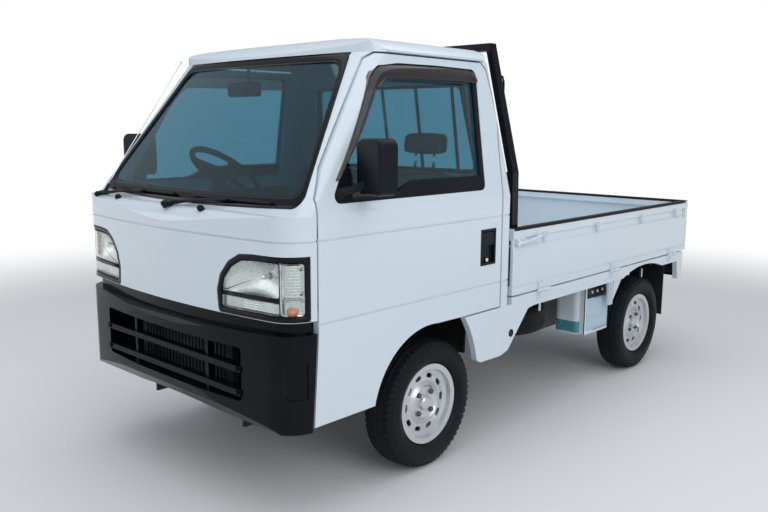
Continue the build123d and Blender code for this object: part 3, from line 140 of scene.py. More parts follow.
def softOutline(corners, radius, steps=7):
    # A polygon with each corner turned into a parabola that starts and ends one radius away from it.
    p = np.asarray(corners, float)
    before, after = np.roll(p, 1, 0) - p, np.roll(p, -1, 0) - p
    r = np.broadcast_to(radius, len(p))[:, None]
    a = p + before / np.linalg.norm(before, axis=1, keepdims=True) * r
    b = p + after / np.linalg.norm(after, axis=1, keepdims=True) * r
    t = np.linspace(0, 1, steps)[None, :, None]
    curve = (1 - t) ** 2 * a[:, None] + 2 * t * (1 - t) * p[:, None] + t ** 2 * b[:, None]
    return curve.reshape(-1, 2)


def insetCorners(corners, amount):
    # Each side of a polygon moved inwards by its own amount, and the sides crossed again.
    p = np.asarray(corners, float)
    side = np.roll(p, -1, 0) - p
    area = np.sum(p[:, 0] * np.roll(p[:, 1], -1) - np.roll(p[:, 0], -1) * p[:, 1])
    length = np.linalg.norm(side, axis=1, keepdims=True)
    normal = np.stack([-side[:, 1], side[:, 0]], 1) * np.sign(area) / length
    level = np.sum(p * normal, 1) + np.broadcast_to(amount, len(p))
    n1, d1, n2, d2 = np.roll(normal, 1, 0), np.roll(level, 1), normal, level
    det = n1[:, 0] * n2[:, 1] - n1[:, 1] * n2[:, 0]
    return np.stack([(d1 * n2[:, 1] - d2 * n1[:, 1]) / det, (n1[:, 0] * d2 - n2[:, 0] * d1) / det], 1)


def densified(outline, step):
    # Points along a closed outline, about one step apart.
    ends = np.concatenate([outline, outline[:1]])
    length = np.concatenate([[0], np.cumsum(np.linalg.norm(np.diff(ends, axis=0), axis=1))])
    at = np.linspace(0, length[-1], int(length[-1] / step), endpoint=False)
    return np.stack([np.interp(at, length, ends[:, 0]), np.interp(at, length, ends[:, 1])], 1)


def ringRows(outer, inner, rows):
    # Outlines between two outlines, as an array for each of the two coordinates.
    t = np.linspace(0, 1, rows)[:, None, None]
    return np.moveaxis(outer[None] * (1 - t) + inner[None] * t, -1, 0)


def discRows(outline, rows):
    # Rings from an outline down to its middle.
    centre = outline.mean(0)
    return ringRows(outline, centre + (outline - centre) * 0.02, rows)


def padRings(corners, radius, step, rows, steps=7):
    return discRows(densified(softOutline(corners, radius, steps), step), rows)


def manySided(line, many=8):
    # More points on each side of an outline, so that it can follow a curved skin.
    along = np.linspace(0, 1, many, endpoint=False)[None, :, None]
    return (line[:, None] + (np.roll(line, -1, 0) - line)[:, None] * along).reshape(-1, 2)


def matchedRing(cornersOut, cornersIn, radiusOut, radiusIn, rows):
    # Two outlines with the same number of points, side by side, as the rows of one ring.
    outer, inner = softOutline(cornersOut, radiusOut, 9), softOutline(cornersIn, radiusIn, 9)
    return ringRows(manySided(outer), manySided(inner), rows)


def smoothed(values, spot):
    # A curve through the values at whole numbers of spot, with its slope from the neighbours (Catmull-Rom).
    values = np.asarray(values, float)
    padded = np.concatenate([values[:1], values, values[-1:]])
    i = np.clip(spot.astype(int), 0, len(values) - 2)
    t = (spot - i).reshape(-1, *[1] * (values.ndim - 1))
    a, b, c, d = (padded[i + k] for k in range(4))
    slope, bend, twist = c - a, 2 * a - 5 * b + 4 * c - d, 3 * b - a - 3 * c + d
    return 0.5 * (2 * b + slope * t + bend * t ** 2 + twist * t ** 3)


def tubeMesh(path, radius, around=12):
    # A circle carried along a path, square to the path's direction at each point.
    path = np.asarray(path, float)
    ahead = np.gradient(path, axis=0)
    ahead /= np.linalg.norm(ahead, axis=1, keepdims=True)
    up = np.where(np.abs(ahead[:, 2:]) > 0.9, [[1.0, 0, 0]], [[0, 0, 1.0]])
    u = np.cross(ahead, up)
    u /= np.linalg.norm(u, axis=1, keepdims=True)
    v = np.cross(ahead, u)
    a = np.linspace(0, 2 * np.pi, around, endpoint=False)[:, None]
    r = np.broadcast_to(radius, len(path))[:, None, None]
    points = path[:, None] + r * (np.cos(a) * u[:, None] + np.sin(a) * v[:, None])
    return points.reshape(-1, 3), cappedFaces(len(path), around)


def turnedMesh(profile, centre, axis, around=20):
    # A profile of (distance along the axis, radius) turned about that axis through a centre.
    along, radius = np.asarray(profile, float).T[:, :, None, None]
    a = np.linspace(0, 2 * np.pi, around, endpoint=False)[:, None]
    w = np.asarray(axis, float) / np.linalg.norm(axis)
    u = np.cross(w, [0.0, 0, 1] if abs(w[2]) < 0.9 else [1.0, 0, 0])
    u /= np.linalg.norm(u)
    points = np.asarray(centre, float) + along * w + radius * (np.cos(a) * u + np.sin(a) * np.cross(w, u))
    return points.reshape(-1, 3), cappedFaces(len(profile), around)


def prismMesh(outline, near, far, place):
    # An outline carried between two depths, each point set by place(u, v, depth).
    u, v, depth = np.broadcast_arrays(outline[:, 0], outline[:, 1], [[near], [far]])
    return placed(*place(u, v, depth)).reshape(-1, 3), cappedFaces(2, len(outline))


def blockMesh(start, end):
    # A box between two opposite corners, in any order.
    low, high = np.sort(np.array([start, end], float), 0)
    pick = np.array([[0, 0, 0], [1, 0, 0], [1, 1, 0], [0, 1, 0], [0, 0, 1], [1, 0, 1], [1, 1, 1], [0, 1, 1]])
    faces = [[3, 2, 1, 0], [4, 5, 6, 7], [0, 1, 5, 4], [1, 2, 6, 5], [2, 3, 7, 6], [3, 0, 4, 7]]
    return low + pick * (high - low), faces


# Where the cab's skin runs
def cabHalf(z):
    return half - np.maximum(z - beltHeight, 0) * cabLean


def screenY(x, z):
    return glassFootY + (z - beltHeight) * glassRake + glassBow * (x / half) ** 2


noseBow = 0.060
bowRadius = (half ** 2 + noseBow ** 2) / (2 * noseBow)
cornerRadius = 0.115
cornerX = half - cornerRadius
cornerY = noseFront + bowRadius - math.sqrt((bowRadius - cornerRadius) ** 2 - cornerX ** 2)


def noseY(x):
    # The nose in plan: a wide bow, then a round corner of 115 mm.
    x = np.abs(x)
    bow = noseFront + bowRadius - np.sqrt(bowRadius ** 2 - x ** 2)
    corner = cornerY - np.sqrt(np.maximum(cornerRadius ** 2 - (np.minimum(x, half) - cornerX) ** 2, 0))
    return np.where(x < cornerX * bowRadius / (bowRadius - cornerRadius), bow, corner)


# Shared looks
def setInputs(tree, node, links):
    # Each named input is linked from a socket or set to a plain value.
    for target, source in links:
        if hasattr(source, "is_output"):
            tree.links.new(source, node.inputs[target])
        else:
            node.inputs[target].default_value = source


def setNode(tree, kind, links=(), **values):
    node = tree.nodes.new(kind)
    for key, value in values.items():
        setattr(node, key, value)
    setInputs(tree, node, links)
    return node


def mathNode(tree, operation, *values, clamp=False):
    return setNode(tree, "ShaderNodeMath", enumerate(values), operation=operation, use_clamp=clamp).outputs[0]


def rangeNode(tree, value, low, high, toLow=0.0, toHigh=1.0, **options):
    # The span from low to high, laid over the span from toLow to toHigh.
    ends = [("Value", value), ("From Min", low), ("From Max", high), ("To Min", toLow), ("To Max", toHigh)]
    return setNode(tree, "ShaderNodeMapRange", ends, **options).outputs["Result"]


def mixNode(tree, factor, first, second):
    return setNode(tree, "ShaderNodeMix", [(0, factor), (6, first), (7, second)], data_type="RGBA").outputs[2]


def noiseNode(tree, scale, detail):
    where = setNode(tree, "ShaderNodeTexCoord").outputs["Object"]
    noise = setNode(tree, "ShaderNodeTexNoise", [("Vector", where), ("Scale", scale), ("Detail", detail)])
    return noise.outputs["Fac"]


def makeGroup(name, inputs, outputs):
    tree = bpy.data.node_groups.new(name, "ShaderNodeTree")
    for label, kind, value in inputs:
        tree.interface.new_socket(label, in_out="INPUT", socket_type=kind).default_value = value
    for label, kind in outputs:
        tree.interface.new_socket(label, in_out="OUTPUT", socket_type=kind)
    return tree, tree.nodes.new("NodeGroupInput").outputs, tree.nodes.new("NodeGroupOutput")


number, colour = "NodeSocketFloat", "NodeSocketColor"
wearGroup, wear, wearOut = makeGroup(
    "surfaceWear",
    [("Color", colour, (0.8, 0.8, 0.8, 1)), ("Dirt Color", colour, (0.2, 0.19, 0.17, 1)),
     ("Dirt", number, 0.2),
     ("Dirt Top", number, 0.8), ("Grain Scale", number, 60.0), ("Spread", number, 0.05),
     ("Roughness", number, 0.3),
     ("Rough Spread", number, 0.1)],
    [("Color", colour), ("Roughness", number), ("Height", number)])
cloud = noiseNode(wearGroup, 3.1, 6.0)
grain = noiseNode(wearGroup, wear["Grain Scale"], 4.0)
coords = setNode(wearGroup, "ShaderNodeTexCoord").outputs["Object"]
height = setNode(wearGroup, "ShaderNodeSeparateXYZ", [("Vector", coords)]).outputs["Z"]
lowness = rangeNode(wearGroup, height, wear["Dirt Top"], 0.05)
mask = mathNode(wearGroup, "MULTIPLY", lowness, rangeNode(wearGroup, cloud, 0.35, 0.7))
mask = mathNode(wearGroup, "MULTIPLY", mask, wear["Dirt"], clamp=True)
shift = rangeNode(wearGroup, grain, 0.3, 0.7, -1.0, 1.0)
shade = mathNode(wearGroup, "MULTIPLY_ADD", shift, wear["Spread"], 1.0)
tinted = setNode(wearGroup, "ShaderNodeVectorMath", [(0, wear["Color"]), ("Scale", shade)], operation="SCALE")
rough = mathNode(wearGroup, "MULTIPLY_ADD", shift, wear["Rough Spread"], wear["Roughness"])
rough = mathNode(wearGroup, "MULTIPLY_ADD", mask, 0.3, rough, clamp=True)
soiled = mixNode(wearGroup, mask, tinted.outputs["Vector"], wear["Dirt Color"])
setInputs(wearGroup, wearOut, [("Color", soiled), ("Roughness", rough), ("Height", grain)])


def newMaterial(name):
    material = bpy.data.materials.new(name)
    material.use_nodes = True
    return material, material.node_tree, material.node_tree.nodes["Principled BSDF"]


def makeFinish(name, base, roughness, metallic=0.0, coat=0.0, specular=0.5, grainScale=60.0, spread=0.03,
               roughSpread=0.05, dirt=0.0, dirtTop=0.7, bump=0.05):
    # A solid finish: one colour with grain, a little dirt low down and a bump of the same grain.
    material, tree, shader = newMaterial(name)
    worn = setNode(tree, "ShaderNodeGroup", [
        ("Color", (*base, 1)), ("Dirt", dirt), ("Dirt Top", dirtTop), ("Grain Scale", grainScale),
        ("Spread", spread),
        ("Roughness", roughness), ("Rough Spread", roughSpread)], node_tree=wearGroup).outputs
    raised = setNode(tree, "ShaderNodeBump",
                     [("Height", worn["Height"]), ("Strength", bump), ("Distance", 0.001)])
    setInputs(tree, shader, [
        ("Metallic", metallic), ("Coat Weight", coat), ("Coat Roughness", 0.14),
        ("Specular IOR Level", specular),
        ("Base Color", worn["Color"]), ("Roughness", worn["Roughness"]),
        ("Normal", raised.outputs["Normal"])])
    return material


def makeGlass(name, base, roughness=0.02):
    # Tinted glass, a little rougher and paler where a wide smear lies on it.
    material, tree, shader = newMaterial(name)
    smear = noiseNode(tree, 9.0, 3.0)
    setInputs(tree, shader, [
        ("Transmission Weight", 1.0), ("IOR", 1.45),
        ("Roughness", rangeNode(tree, smear, 0.0, 1.0, roughness, roughness + 0.03)),
        ("Base Color", mixNode(tree, smear, (*base, 1), (*[min(c * 1.04, 1) for c in base], 1)))])
    return material


whitePaint = makeFinish("whitePaint", (0.68, 0.77, 0.83), 0.26, coat=0.45, grainScale=420, spread=0.006,
                        roughSpread=0.02, dirt=0.10, dirtTop=0.5, bump=0.015)
blackTrim = makeFinish("blackTrim", (0.007, 0.010, 0.013), 0.36, specular=0.14, grainScale=900, spread=0.2,
                       roughSpread=0.08, bump=0.12)
cabinPlastic = makeFinish("cabinPlastic", (0.030, 0.034, 0.040), 0.55, specular=0.25, grainScale=640,
                          spread=0.12,
                          bump=0.3)
finishes = {
    "body_paint": whitePaint,
    "bed_paint": makeFinish("bedPaint", (0.60, 0.70, 0.78), 0.38, grainScale=90, spread=0.05,
                            roughSpread=0.12,
                            dirt=0.45, dirtTop=1.4),
    "black_bumper": makeFinish("blackBumper", (0.003, 0.004, 0.006), 0.14, specular=0.13, grainScale=700,
                               spread=0.15, dirt=0.06, bump=0.04),
    "black_trim": blackTrim,
    "guard_paint": makeFinish("guardPaint", (0.004, 0.006, 0.009), 0.26, specular=0.14, grainScale=300,
                              spread=0.12,
                              bump=0.04),
    # Door glass: partly its own tint, partly painted shade of the cab and painted sky reflection in its
    # darker blue
    "glass_tint": makeGlass("tintedGlassShaded", (0.30, 0.51, 0.60)),
    "lamp_clear": makeGlass("clearLens", (0.93, 0.95, 0.95), 0.07),
    "lamp_red": makeFinish("redLens", (0.42, 0.012, 0.012), 0.12, coat=0.8, grainScale=260, spread=0.1,
                           bump=0.2),
    "wheel_steel": makeFinish("wheelSilver", (0.66, 0.68, 0.70), 0.32, metallic=0.65, grainScale=260,
                              spread=0.05,
                              roughSpread=0.08, dirt=0.10, dirtTop=0.6),
    "tyre_rubber": makeFinish("tyreRubber", (0.005, 0.006, 0.008), 0.50, specular=0.16, grainScale=320,
                              spread=0.25,
                              roughSpread=0.12, dirt=0.06, dirtTop=0.5, bump=0.25),
    "flap_rubber": makeFinish("flapRubber", (0.009, 0.010, 0.011), 0.55, specular=0.2, grainScale=200,
                              spread=0.2,
                              dirt=0.4),
    "seat_vinyl": makeFinish("seatVinyl", (0.055, 0.058, 0.062), 0.50, grainScale=520, spread=0.15, bump=0.4),
    "cabin_plastic": cabinPlastic,
    "chassis_black": makeFinish("chassisBlack", (0.012, 0.013, 0.014), 0.60, specular=0.2, grainScale=110,
                                spread=0.3, roughSpread=0.15, dirt=0.6, bump=0.4),
    "engine_alloy": makeFinish("castAlloy", (0.30, 0.30, 0.29), 0.48, metallic=0.7, grainScale=90, spread=0.2,
                               dirt=0.6, bump=0.5),
    "exhaust_steel": makeFinish("exhaustSteel", (0.26, 0.24, 0.21), 0.42, metallic=0.8, grainScale=60,
                                spread=0.25,
                                dirt=0.4, bump=0.3),
    "tank_white": makeFinish("milkyTank", (0.66, 0.74, 0.78), 0.35, grainScale=150, spread=0.04, dirt=0.25),
}
chrome = makeFinish("chrome", (0.82, 0.83, 0.85), 0.08, metallic=1.0, grainScale=200, spread=0.02, bump=0.0)
screenBorder = makeFinish("screenBorder", (0.004, 0.005, 0.007), 0.18, specular=0.25, grainScale=500,
                          spread=0.1,
                          bump=0.02)
# Windscreen glass in a deep teal: partly its own tint, partly painted shade of the cab behind it and painted
# reflection
screenGlassShaded = makeGlass("screenGlassShaded", (0.13, 0.32, 0.40))
smokedPlastic = makeGlass("smokedVisor", (0.30, 0.21, 0.19), 0.03)
amberLens = makeFinish("amberLens", (0.78, 0.30, 0.12), 0.25, coat=0.7, grainScale=300, spread=0.1, bump=0.15)
coolantTeal = makeFinish("coolantTeal", (0.06, 0.27, 0.31), 0.25, grainScale=80, spread=0.1)
batteryBlue = makeFinish("batteryBlue", (0.47, 0.62, 0.74), 0.4, grainScale=200, spread=0.05)
lampBlack = makeFinish("lampBlack", (0.004, 0.005, 0.007), 0.22, specular=0.2, grainScale=500, spread=0.1,
                       bump=0.03)
seatCloth = makeFinish("seatCloth", (0.060, 0.063, 0.068), 0.62, grainScale=700, spread=0.25, bump=0.5)
rubberSeal = makeFinish("rubberSeal", (0.004, 0.005, 0.007), 0.45, specular=0.2, grainScale=500, spread=0.2,
                        bump=0.15)
lampSilver = makeFinish("lampSilver", (0.56, 0.60, 0.60), 0.24, metallic=0.9, grainScale=150, spread=0.05)
clearRearLens = makeFinish("clearRearLens", (0.72, 0.73, 0.74), 0.15, coat=0.7, grainScale=300, spread=0.05,
                           bump=0.15)
mirrorGlass = makeFinish("mirrorGlass", (0.8, 0.82, 0.84), 0.03, metallic=1.0, grainScale=20, spread=0.01,
                         bump=0.0)
# Near black: partly real underseal, partly painted shade where the arches, the cab and the insides of the
# wheels fall dark
underSealAndShade = makeFinish("underSealAndShade", (0.010, 0.011, 0.012), 0.7, specular=0.15, grainScale=140, spread=0.3,
                       dirt=0.3,
                       bump=0.4)
nutSteel = makeFinish("nutSteel", (0.10, 0.105, 0.11), 0.35, metallic=0.7, grainScale=300, spread=0.1)

# Two nodes look different from the rest of their slot: the windscreen, and the cab floor in near black,
# partly real underseal and mat, partly painted shade in the wheel arches and the cab
ownLooks = {"cab_glass": screenGlassShaded, "cab_floor": underSealAndShade}
nodeSlots = {entry["node"]: entry["material_slot"] for entry in frame["record"]["subparts"]}
for nodeName, node in nodes.items():
    node.data.materials.clear()
    node.data.materials.append(ownLooks.get(nodeName, finishes[nodeSlots[nodeName]]))
print("finishes made:", len(finishes))

# Tyres with a ribbed road tread, cut a few millimetres into the CAD tyre's outline
tyre = {
    "grooves": [-0.034, -0.012, 0.012, 0.034], "grooveDepth": 0.0075, "grooveWidth": 0.0046, "waves": 60,
    "wave": 0.0016, "shoulderCuts": 60, "around": 360,
    "rings": [(0.186, 0.003, 0.0012), (0.196, 0.002, 0.0007), (0.236, 0.004, 0.0014)],  # radius, width, rise
    # the section's inner half, from the bead out to the crown
    "x": [-0.048, -0.048, -0.060, -0.0690, -0.0730, -0.0735, -0.0722, -0.0690, -0.0645, -0.0605, -0.0500,
          -0.0395,
          -0.020, 0],
    "r": [0.1555, 0.1695, 0.1770, 0.1890, 0.2020, 0.2130, 0.2290, 0.2430, 0.2540, 0.2615, 0.2665, 0.2695,
          0.2707,
          0.2710],
}
sectionX = np.concatenate([tyre["x"], -np.array(tyre["x"][-2::-1])])
sectionR = np.concatenate([tyre["r"], tyre["r"][-2::-1]])


def tyreSurface(centre, side):
    # Radius over (angle, place on the section), less the grooves' depth where each groove's wave passes.
    spot = np.concatenate([np.linspace(0, 9, 22)[:-1], np.linspace(9, 17, 61)[:-1], np.linspace(17, 26, 22)])
    x, r = (np.interp(spot, np.arange(27), line)[None, :] for line in (sectionX, sectionR))
    a = np.linspace(0, 2 * np.pi, tyre["around"], endpoint=False)[:, None]
    zigzag = tyre["wave"] * 2 / np.pi * np.arcsin(np.sin(a * tyre["waves"]))
    cut = np.zeros(np.broadcast_shapes(a.shape, x.shape))
    for groove in tyre["grooves"]:
        off = np.abs(x - groove - zigzag)
        cut = np.maximum(cut, np.clip(1.4 - off / tyre["grooveWidth"] * 1.6, 0, 1))
    shoulder = (np.abs(x) > 0.040) & (r > 0.241)
    lug = np.clip(np.sin(a * tyre["shoulderCuts"] + 2.0 * np.sign(x)) * 4.0 - 1.6, 0, 1) * shoulder
    sipe = np.clip(np.sin(a * tyre["waves"] * 2) * 4 - 3.2, 0,
                   1) * ((np.abs(x) < 0.032) & (np.abs(x) > 0.014))
    radius = r - tyre["grooveDepth"] * np.maximum(cut, np.maximum(lug, sipe * 0.7))
    ring = sum(rise * np.clip(1 - np.abs(r - place) / width, 0, 1) for place, width, rise in tyre["rings"])
    return placed(centre[0] + side * (x + np.sign(x) * ring), centre[1] + radius * np.cos(a),
                  centre[2] + radius * np.sin(a))


wheelCentres = {}
for name, side in wheelBodies.items():
    low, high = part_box("tyre_" + name)
    wheelCentres[name] = ((low.x + high.x) / 2, (low.y + high.y) / 2, axleHeight)
    piece = gridPiece("roadTyre_" + name, tyreSurface(wheelCentres[name], side), finishes["tyre_rubber"],
                      "wheel_" + name, closeRows=True, closeCols=True, slot="tyre_rubber")
    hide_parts("tyre_" + name)
print("tyres done")

# Black border printed round the windscreen, over the glass
screen = {"foot": (0.668, 1.130), "head": (0.512, 1.675), "footBow": 0.016,
          "border": [0.040, 0.028, 0.034, 0.028],
          "radius": 0.040, "innerRadius": 0.06, "out": -0.0045}
(footX, footZ), (headX, headZ) = screen["foot"], screen["head"]
screenCorners = [(-footX, footZ), (footX, footZ), (headX, headZ), (-headX, headZ)]
x, z = matchedRing(screenCorners, insetCorners(screenCorners, screen["border"]), screen["radius"],
                   screen["innerRadius"], 4)
z = z - screen["footBow"] * (1 - (x / footX) ** 2) * np.clip((1.25 - z) / 0.12, 0, 1)
gridPiece("windscreenBorder", placed(x, screenY(x, z) - screen["out"], z), screenBorder, "body",
          closeCols=True,
          thick=0.0015)
print("windscreen border done")

# The nose in plan as a path by length, so that lamps and trims can follow its curve
bendAngle = math.asin(cornerX / (bowRadius - cornerRadius))
bowSweep, cornerSweep = np.linspace(0, bendAngle, 80), np.linspace(bendAngle, np.pi / 2, 50)[1:]
planX = np.concatenate([bowRadius * np.sin(bowSweep), cornerX + cornerRadius * np.sin(cornerSweep), [half]])
planY = np.concatenate([noseFront + bowRadius * (1 - np.cos(bowSweep)),
                        cornerY - cornerRadius * np.cos(cornerSweep),
                        [cornerY + 0.4]])
planS = np.concatenate([[0], np.cumsum(np.hypot(np.diff(planX), np.diff(planY)))])


def alongNose(x):
    return float(np.interp(x, planX[:-1], planS[:-1]))


def nosePoint(s, z, inset, side):
    # A point on the nose's skin at length s from the middle, moved in by inset square to it.
    x, y = np.interp(s, planS, planX), np.interp(s, planS, planY)
    dx = np.interp(s + 0.003, planS, planX) - np.interp(s - 0.003, planS, planX)
    dy = np.interp(s + 0.003, planS, planY) - np.interp(s - 0.003, planS, planY)
    size = np.hypot(dx, dy)
    return placed(side * (x - dy / size * inset), y + dx / size * inset, z)


# Headlamps: black rim, clear lenses over a bright bowl, a dark strip, fluting low down and an amber bulb
lamp = {
    "corners": [(0.344, 0.750), (0.337, 0.828), (0.355, 0.886), (0.400, 0.938), (0.455, 0.968),
                (0.520, 0.973)],
    "rearY": -1.497, "foot": 0.750, "head": 0.973, "rim": 0.021,
    "lip": [0.0030, 0.0015, 0.0015, 0.0025, 0.0075],
    "rimCorners": [0.012, 0.009, 0.009, 0.009, 0.009, 0.009, 0.018, 0.016], "lensInset": 0.0065,
    "stripLow": 0.815, "stripHigh": 0.830, "divider": 0.636, "post": 0.005, "seam": (0.8195, 0.8225),
    "bowlX": 0.512, "bowlZ": 0.893, "bowlHalf": (0.150, 0.070), "bowlDepth": 0.038, "screws": (0.846, 0.930),
    "bulb": [(-0.014, 0.0003), (-0.013, 0.006), (-0.008, 0.009), (0.008, 0.009), (0.012, 0.011),
             (0.016, 0.0003)],
    "screw": [(-0.002, 0.0003), (-0.002, 0.0042), (0.0012, 0.0042), (0.002, 0.003), (0.0014, 0.0003)],
    "winker": (0.044, 0.786),
    "winkerBulb": [(-0.021, 0.0003), (-0.020, 0.006), (-0.014, 0.011), (-0.005, 0.0135), (0.005, 0.0135),
                   (0.014, 0.011), (0.020, 0.006), (0.021, 0.0003)],
}
lampEnd = float(planS[-2]) + lamp["rearY"] - float(planY[-2])
lampCorners = [(alongNose(x), z) for x, z in lamp["corners"]]
lampCorners += [(lampEnd, lamp["head"]), (lampEnd, lamp["foot"])]
lampInner = [tuple(p) for p in insetCorners(lampCorners, lamp["rim"])]
innerTop, innerRear, innerFoot = lampInner[-2][1], lampInner[-2][0], lampInner[-1][1]
stripLow, stripHigh, lensInset = lamp["stripLow"], lamp["stripHigh"], lamp["lensInset"]
dividerS, bowlS = alongNose(lamp["divider"]), alongNose(lamp["bowlX"])
postS = dividerS + lamp["post"]
lowS, highS = lampInner[0][0] - 0.002, lampInner[1][0]
lampLenses = {
    "main": ([(highS, stripHigh)] + lampInner[1:6] + [(dividerS, innerTop), (dividerS, stripHigh)], 0.006),
    "lower": ([(lowS, innerFoot), (lowS, stripLow), (dividerS, stripLow), (dividerS, innerFoot)], 0.004),
    "side": ([(postS, innerFoot), (postS, innerTop), (innerRear, innerTop), (innerRear, innerFoot)], 0.006),
}
lampBars = {  # corners, finish
    "strip": ([(lowS, stripLow), (highS, stripHigh), (dividerS, stripHigh), (dividerS, stripLow)], lampBlack),
    "post": ([(dividerS, innerFoot), (dividerS, innerTop), (postS, innerTop), (postS, innerFoot)],
             lampSilver),
}
for sideName, side in bodySides.items():
    s, z = matchedRing(lampCorners, lampInner, 0.013, lamp["rimCorners"], 5)
    rim = gridPiece("headlampRim_" + sideName, nosePoint(s, z, np.array(lamp["lip"])[:, None], side),
                    lampBlack,
                    "body", closeCols=True, thick=0.0015)
    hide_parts("headlamps")
    crown = np.linspace(0, 1, 14)[:, None] ** 0.4 * 0.003
    for part, (corners, radius) in lampLenses.items():
        s, z = padRings(corners, radius, 0.007, 14)
        lens = discPiece("headlampLens_%s_%s" % (part, sideName), nosePoint(s, z, lensInset - crown, side),
                         finishes["lamp_clear"], "body", slot="lamp_clear", thick=0.002)
        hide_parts("headlamps")
    for part, (corners, look) in lampBars.items():
        s, z = padRings(corners, 0.001, 0.008, 3, 5)
        discPiece("headlamp_%s_%s" % (part, sideName), nosePoint(s, z, lensInset - 0.001, side), look, "body",
                  thick=0.004)
    # The housing behind the lenses: its rim meets the lamp's edge, and a wide trough lies in its main part
    s, z = padRings(insetCorners(lampCorners, 0.004), 0.008, 0.006, 32)
    inward = np.clip(np.linspace(0, 1, 32)[:, None] / 0.12, 0, 1)
    u, v = (s - bowlS) / lamp["bowlHalf"][0], (z - lamp["bowlZ"]) / lamp["bowlHalf"][1]
    trough = np.clip(1 - u ** 2, 0, 1) * np.clip(1 - v ** 2, 0, 1) ** 0.7
    depth = 0.010 + 0.012 * inward + lamp["bowlDepth"] * trough * (z > stripLow)
    bowl = discPiece("headlampBowl_" + sideName, nosePoint(s, z, depth, side), lampSilver, "body",
                     thick=0.0015)
    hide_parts("headlamps")
    bulb = nosePoint(bowlS + 0.030, lamp["bowlZ"], 0.040, side)
    addPiece("headlampBulb_" + sideName, *turnedMesh(lamp["bulb"], bulb, (0, 1, 0)), chrome, "body")
    # Prisms: fine squares over the side lamp, level bars and a grid of ribs over the lower lens
    u, v = np.meshgrid(np.linspace(0, 1, 45), np.linspace(0, 1, 45))
    s, z = dividerS + 0.014 + u * (innerRear - dividerS - 0.026), 0.832 + v * (innerTop - 0.840)
    prism = 0.0016 * np.abs(np.sin(u * 7 * np.pi) * np.sin(v * 11 * np.pi))
    gridPiece("sidePrisms_" + sideName, nosePoint(s, z, 0.0125 - prism, side), lampSilver, "body",
              thick=0.001)
    s = lowS + 0.012 + u * (dividerS - lowS - 0.018)
    z = innerFoot + 0.004 + v * (stripLow - innerFoot - 0.009)
    bars = 0.0026 * np.abs(np.sin(v * 4 * np.pi)) * ((u > 0.36) & (u < 0.72))
    ribs = 0.0014 * np.abs(np.sin(u * 24 * np.pi) * np.sin(v * 5 * np.pi)) * (u > 0.76)
    gridPiece("lowerPrisms_" + sideName, nosePoint(s, z, 0.0135 - bars - ribs, side), lampSilver, "body",
              thick=0.001)
    seamLow, seamHigh = lamp["seam"]
    s, z = padRings(rectangle(dividerS + 0.006, seamLow, innerRear, seamHigh), 0.001, 0.008, 3, 5)
    discPiece("sideSeam_" + sideName, nosePoint(s, z, lensInset - 0.0025, side), lampSilver, "body",
              thick=0.002)
    # Two screws in the side lens, and the amber bulb lying behind it
    for index, screwZ in enumerate(lamp["screws"]):
        place, out = (nosePoint(innerRear - 0.014, screwZ, deep, side) for deep in (lensInset - 0.003, -0.02))
        screw = turnedMesh(lamp["screw"], place, out - place, 16)
        addPiece("sideScrew_%s_%d" % (sideName, index), *screw, nutSteel, "body")
    winkerS, winkerZ = lamp["winker"]
    place, ahead = (nosePoint(dividerS + winkerS + step, winkerZ, 0.017, side) for step in (0, 0.01))
    addPiece("winkerBulb_" + sideName, *turnedMesh(lamp["winkerBulb"], place, ahead - place), amberLens,
             "body")
print("headlamps done")

# Rubber and trim round the glass; the door's own pieces ride with the door
doorWindow = {  # corners as (y, z), measured on the photograph
    "corners": [(-1.398, 1.140), (-0.506, 1.140), (-0.499, 1.625), (-0.520, 1.645), (-0.741, 1.648),
                (-0.980, 1.645), (-1.090, 1.630), (-1.131, 1.592)],
    "seal": [0.015, 0.020, 0.015, 0.015, 0.015, 0.015, 0.015, 0.013],
    "sealInset": [0.004, 0.0015, 0.004, 0.012, 0.019],
    "radius": [0.030, 0.030, 0.010, 0.010, 0.030, 0.030, 0.030, 0.024],
    # the smoked visor's upper and lower edge, from its front foot to its rear end
    "visorOuter": [(-1.372, 1.215), (-1.306, 1.315), (-1.243, 1.426), (-1.160, 1.563), (-1.131, 1.603),
                   (-1.086, 1.632), (-0.972, 1.646), (-0.742, 1.650), (-0.540, 1.647), (-0.506, 1.628)],
    "visorInner": [(-1.362, 1.215), (-1.280, 1.315), (-1.229, 1.377), (-1.155, 1.490), (-1.130, 1.530),
                   (-1.083, 1.569), (-1.032, 1.579), (-0.742, 1.582), (-0.556, 1.583), (-0.503, 1.584)],
    "lift": [0.014, 0.009, 0.002, -0.004, -0.008, -0.011, -0.013, -0.014, -0.011],
}


def doorPoint(y, z, inset, side):
    return placed(side * (cabHalf(z) - inset), y, z)


corners, radius = doorWindow["corners"], np.array(doorWindow["radius"])
for sideName, side in bodySides.items():
    y, z = matchedRing(corners, insetCorners(corners, doorWindow["seal"]), radius, radius * 0.7, 5)
    inset = np.array(doorWindow["sealInset"])[:, None]
    gridPiece("doorSeal_" + sideName, doorPoint(y, z, inset, side), rubberSeal, "door_" + sideName,
              closeCols=True,
              thick=0.002)
    # Smoked rain visor: a band along the top that runs down the front edge, bowed out from the glass
    spot = np.linspace(0, len(doorWindow["visorOuter"]) - 1, 91)
    y, z = ringRows(smoothed(doorWindow["visorOuter"], spot), smoothed(doorWindow["visorInner"], spot), 9)
    ends = np.clip(np.minimum(spot, spot[-1] - spot) / 0.35, 0, 1) ** 0.5
    lift = np.array(doorWindow["lift"])[:, None] * ends + 0.004 * (1 - ends)
    gridPiece("rainVisor_" + sideName, doorPoint(y, z, lift, side), smokedPlastic, "door_" + sideName,
              thick=0.0025)
print("door windows done")

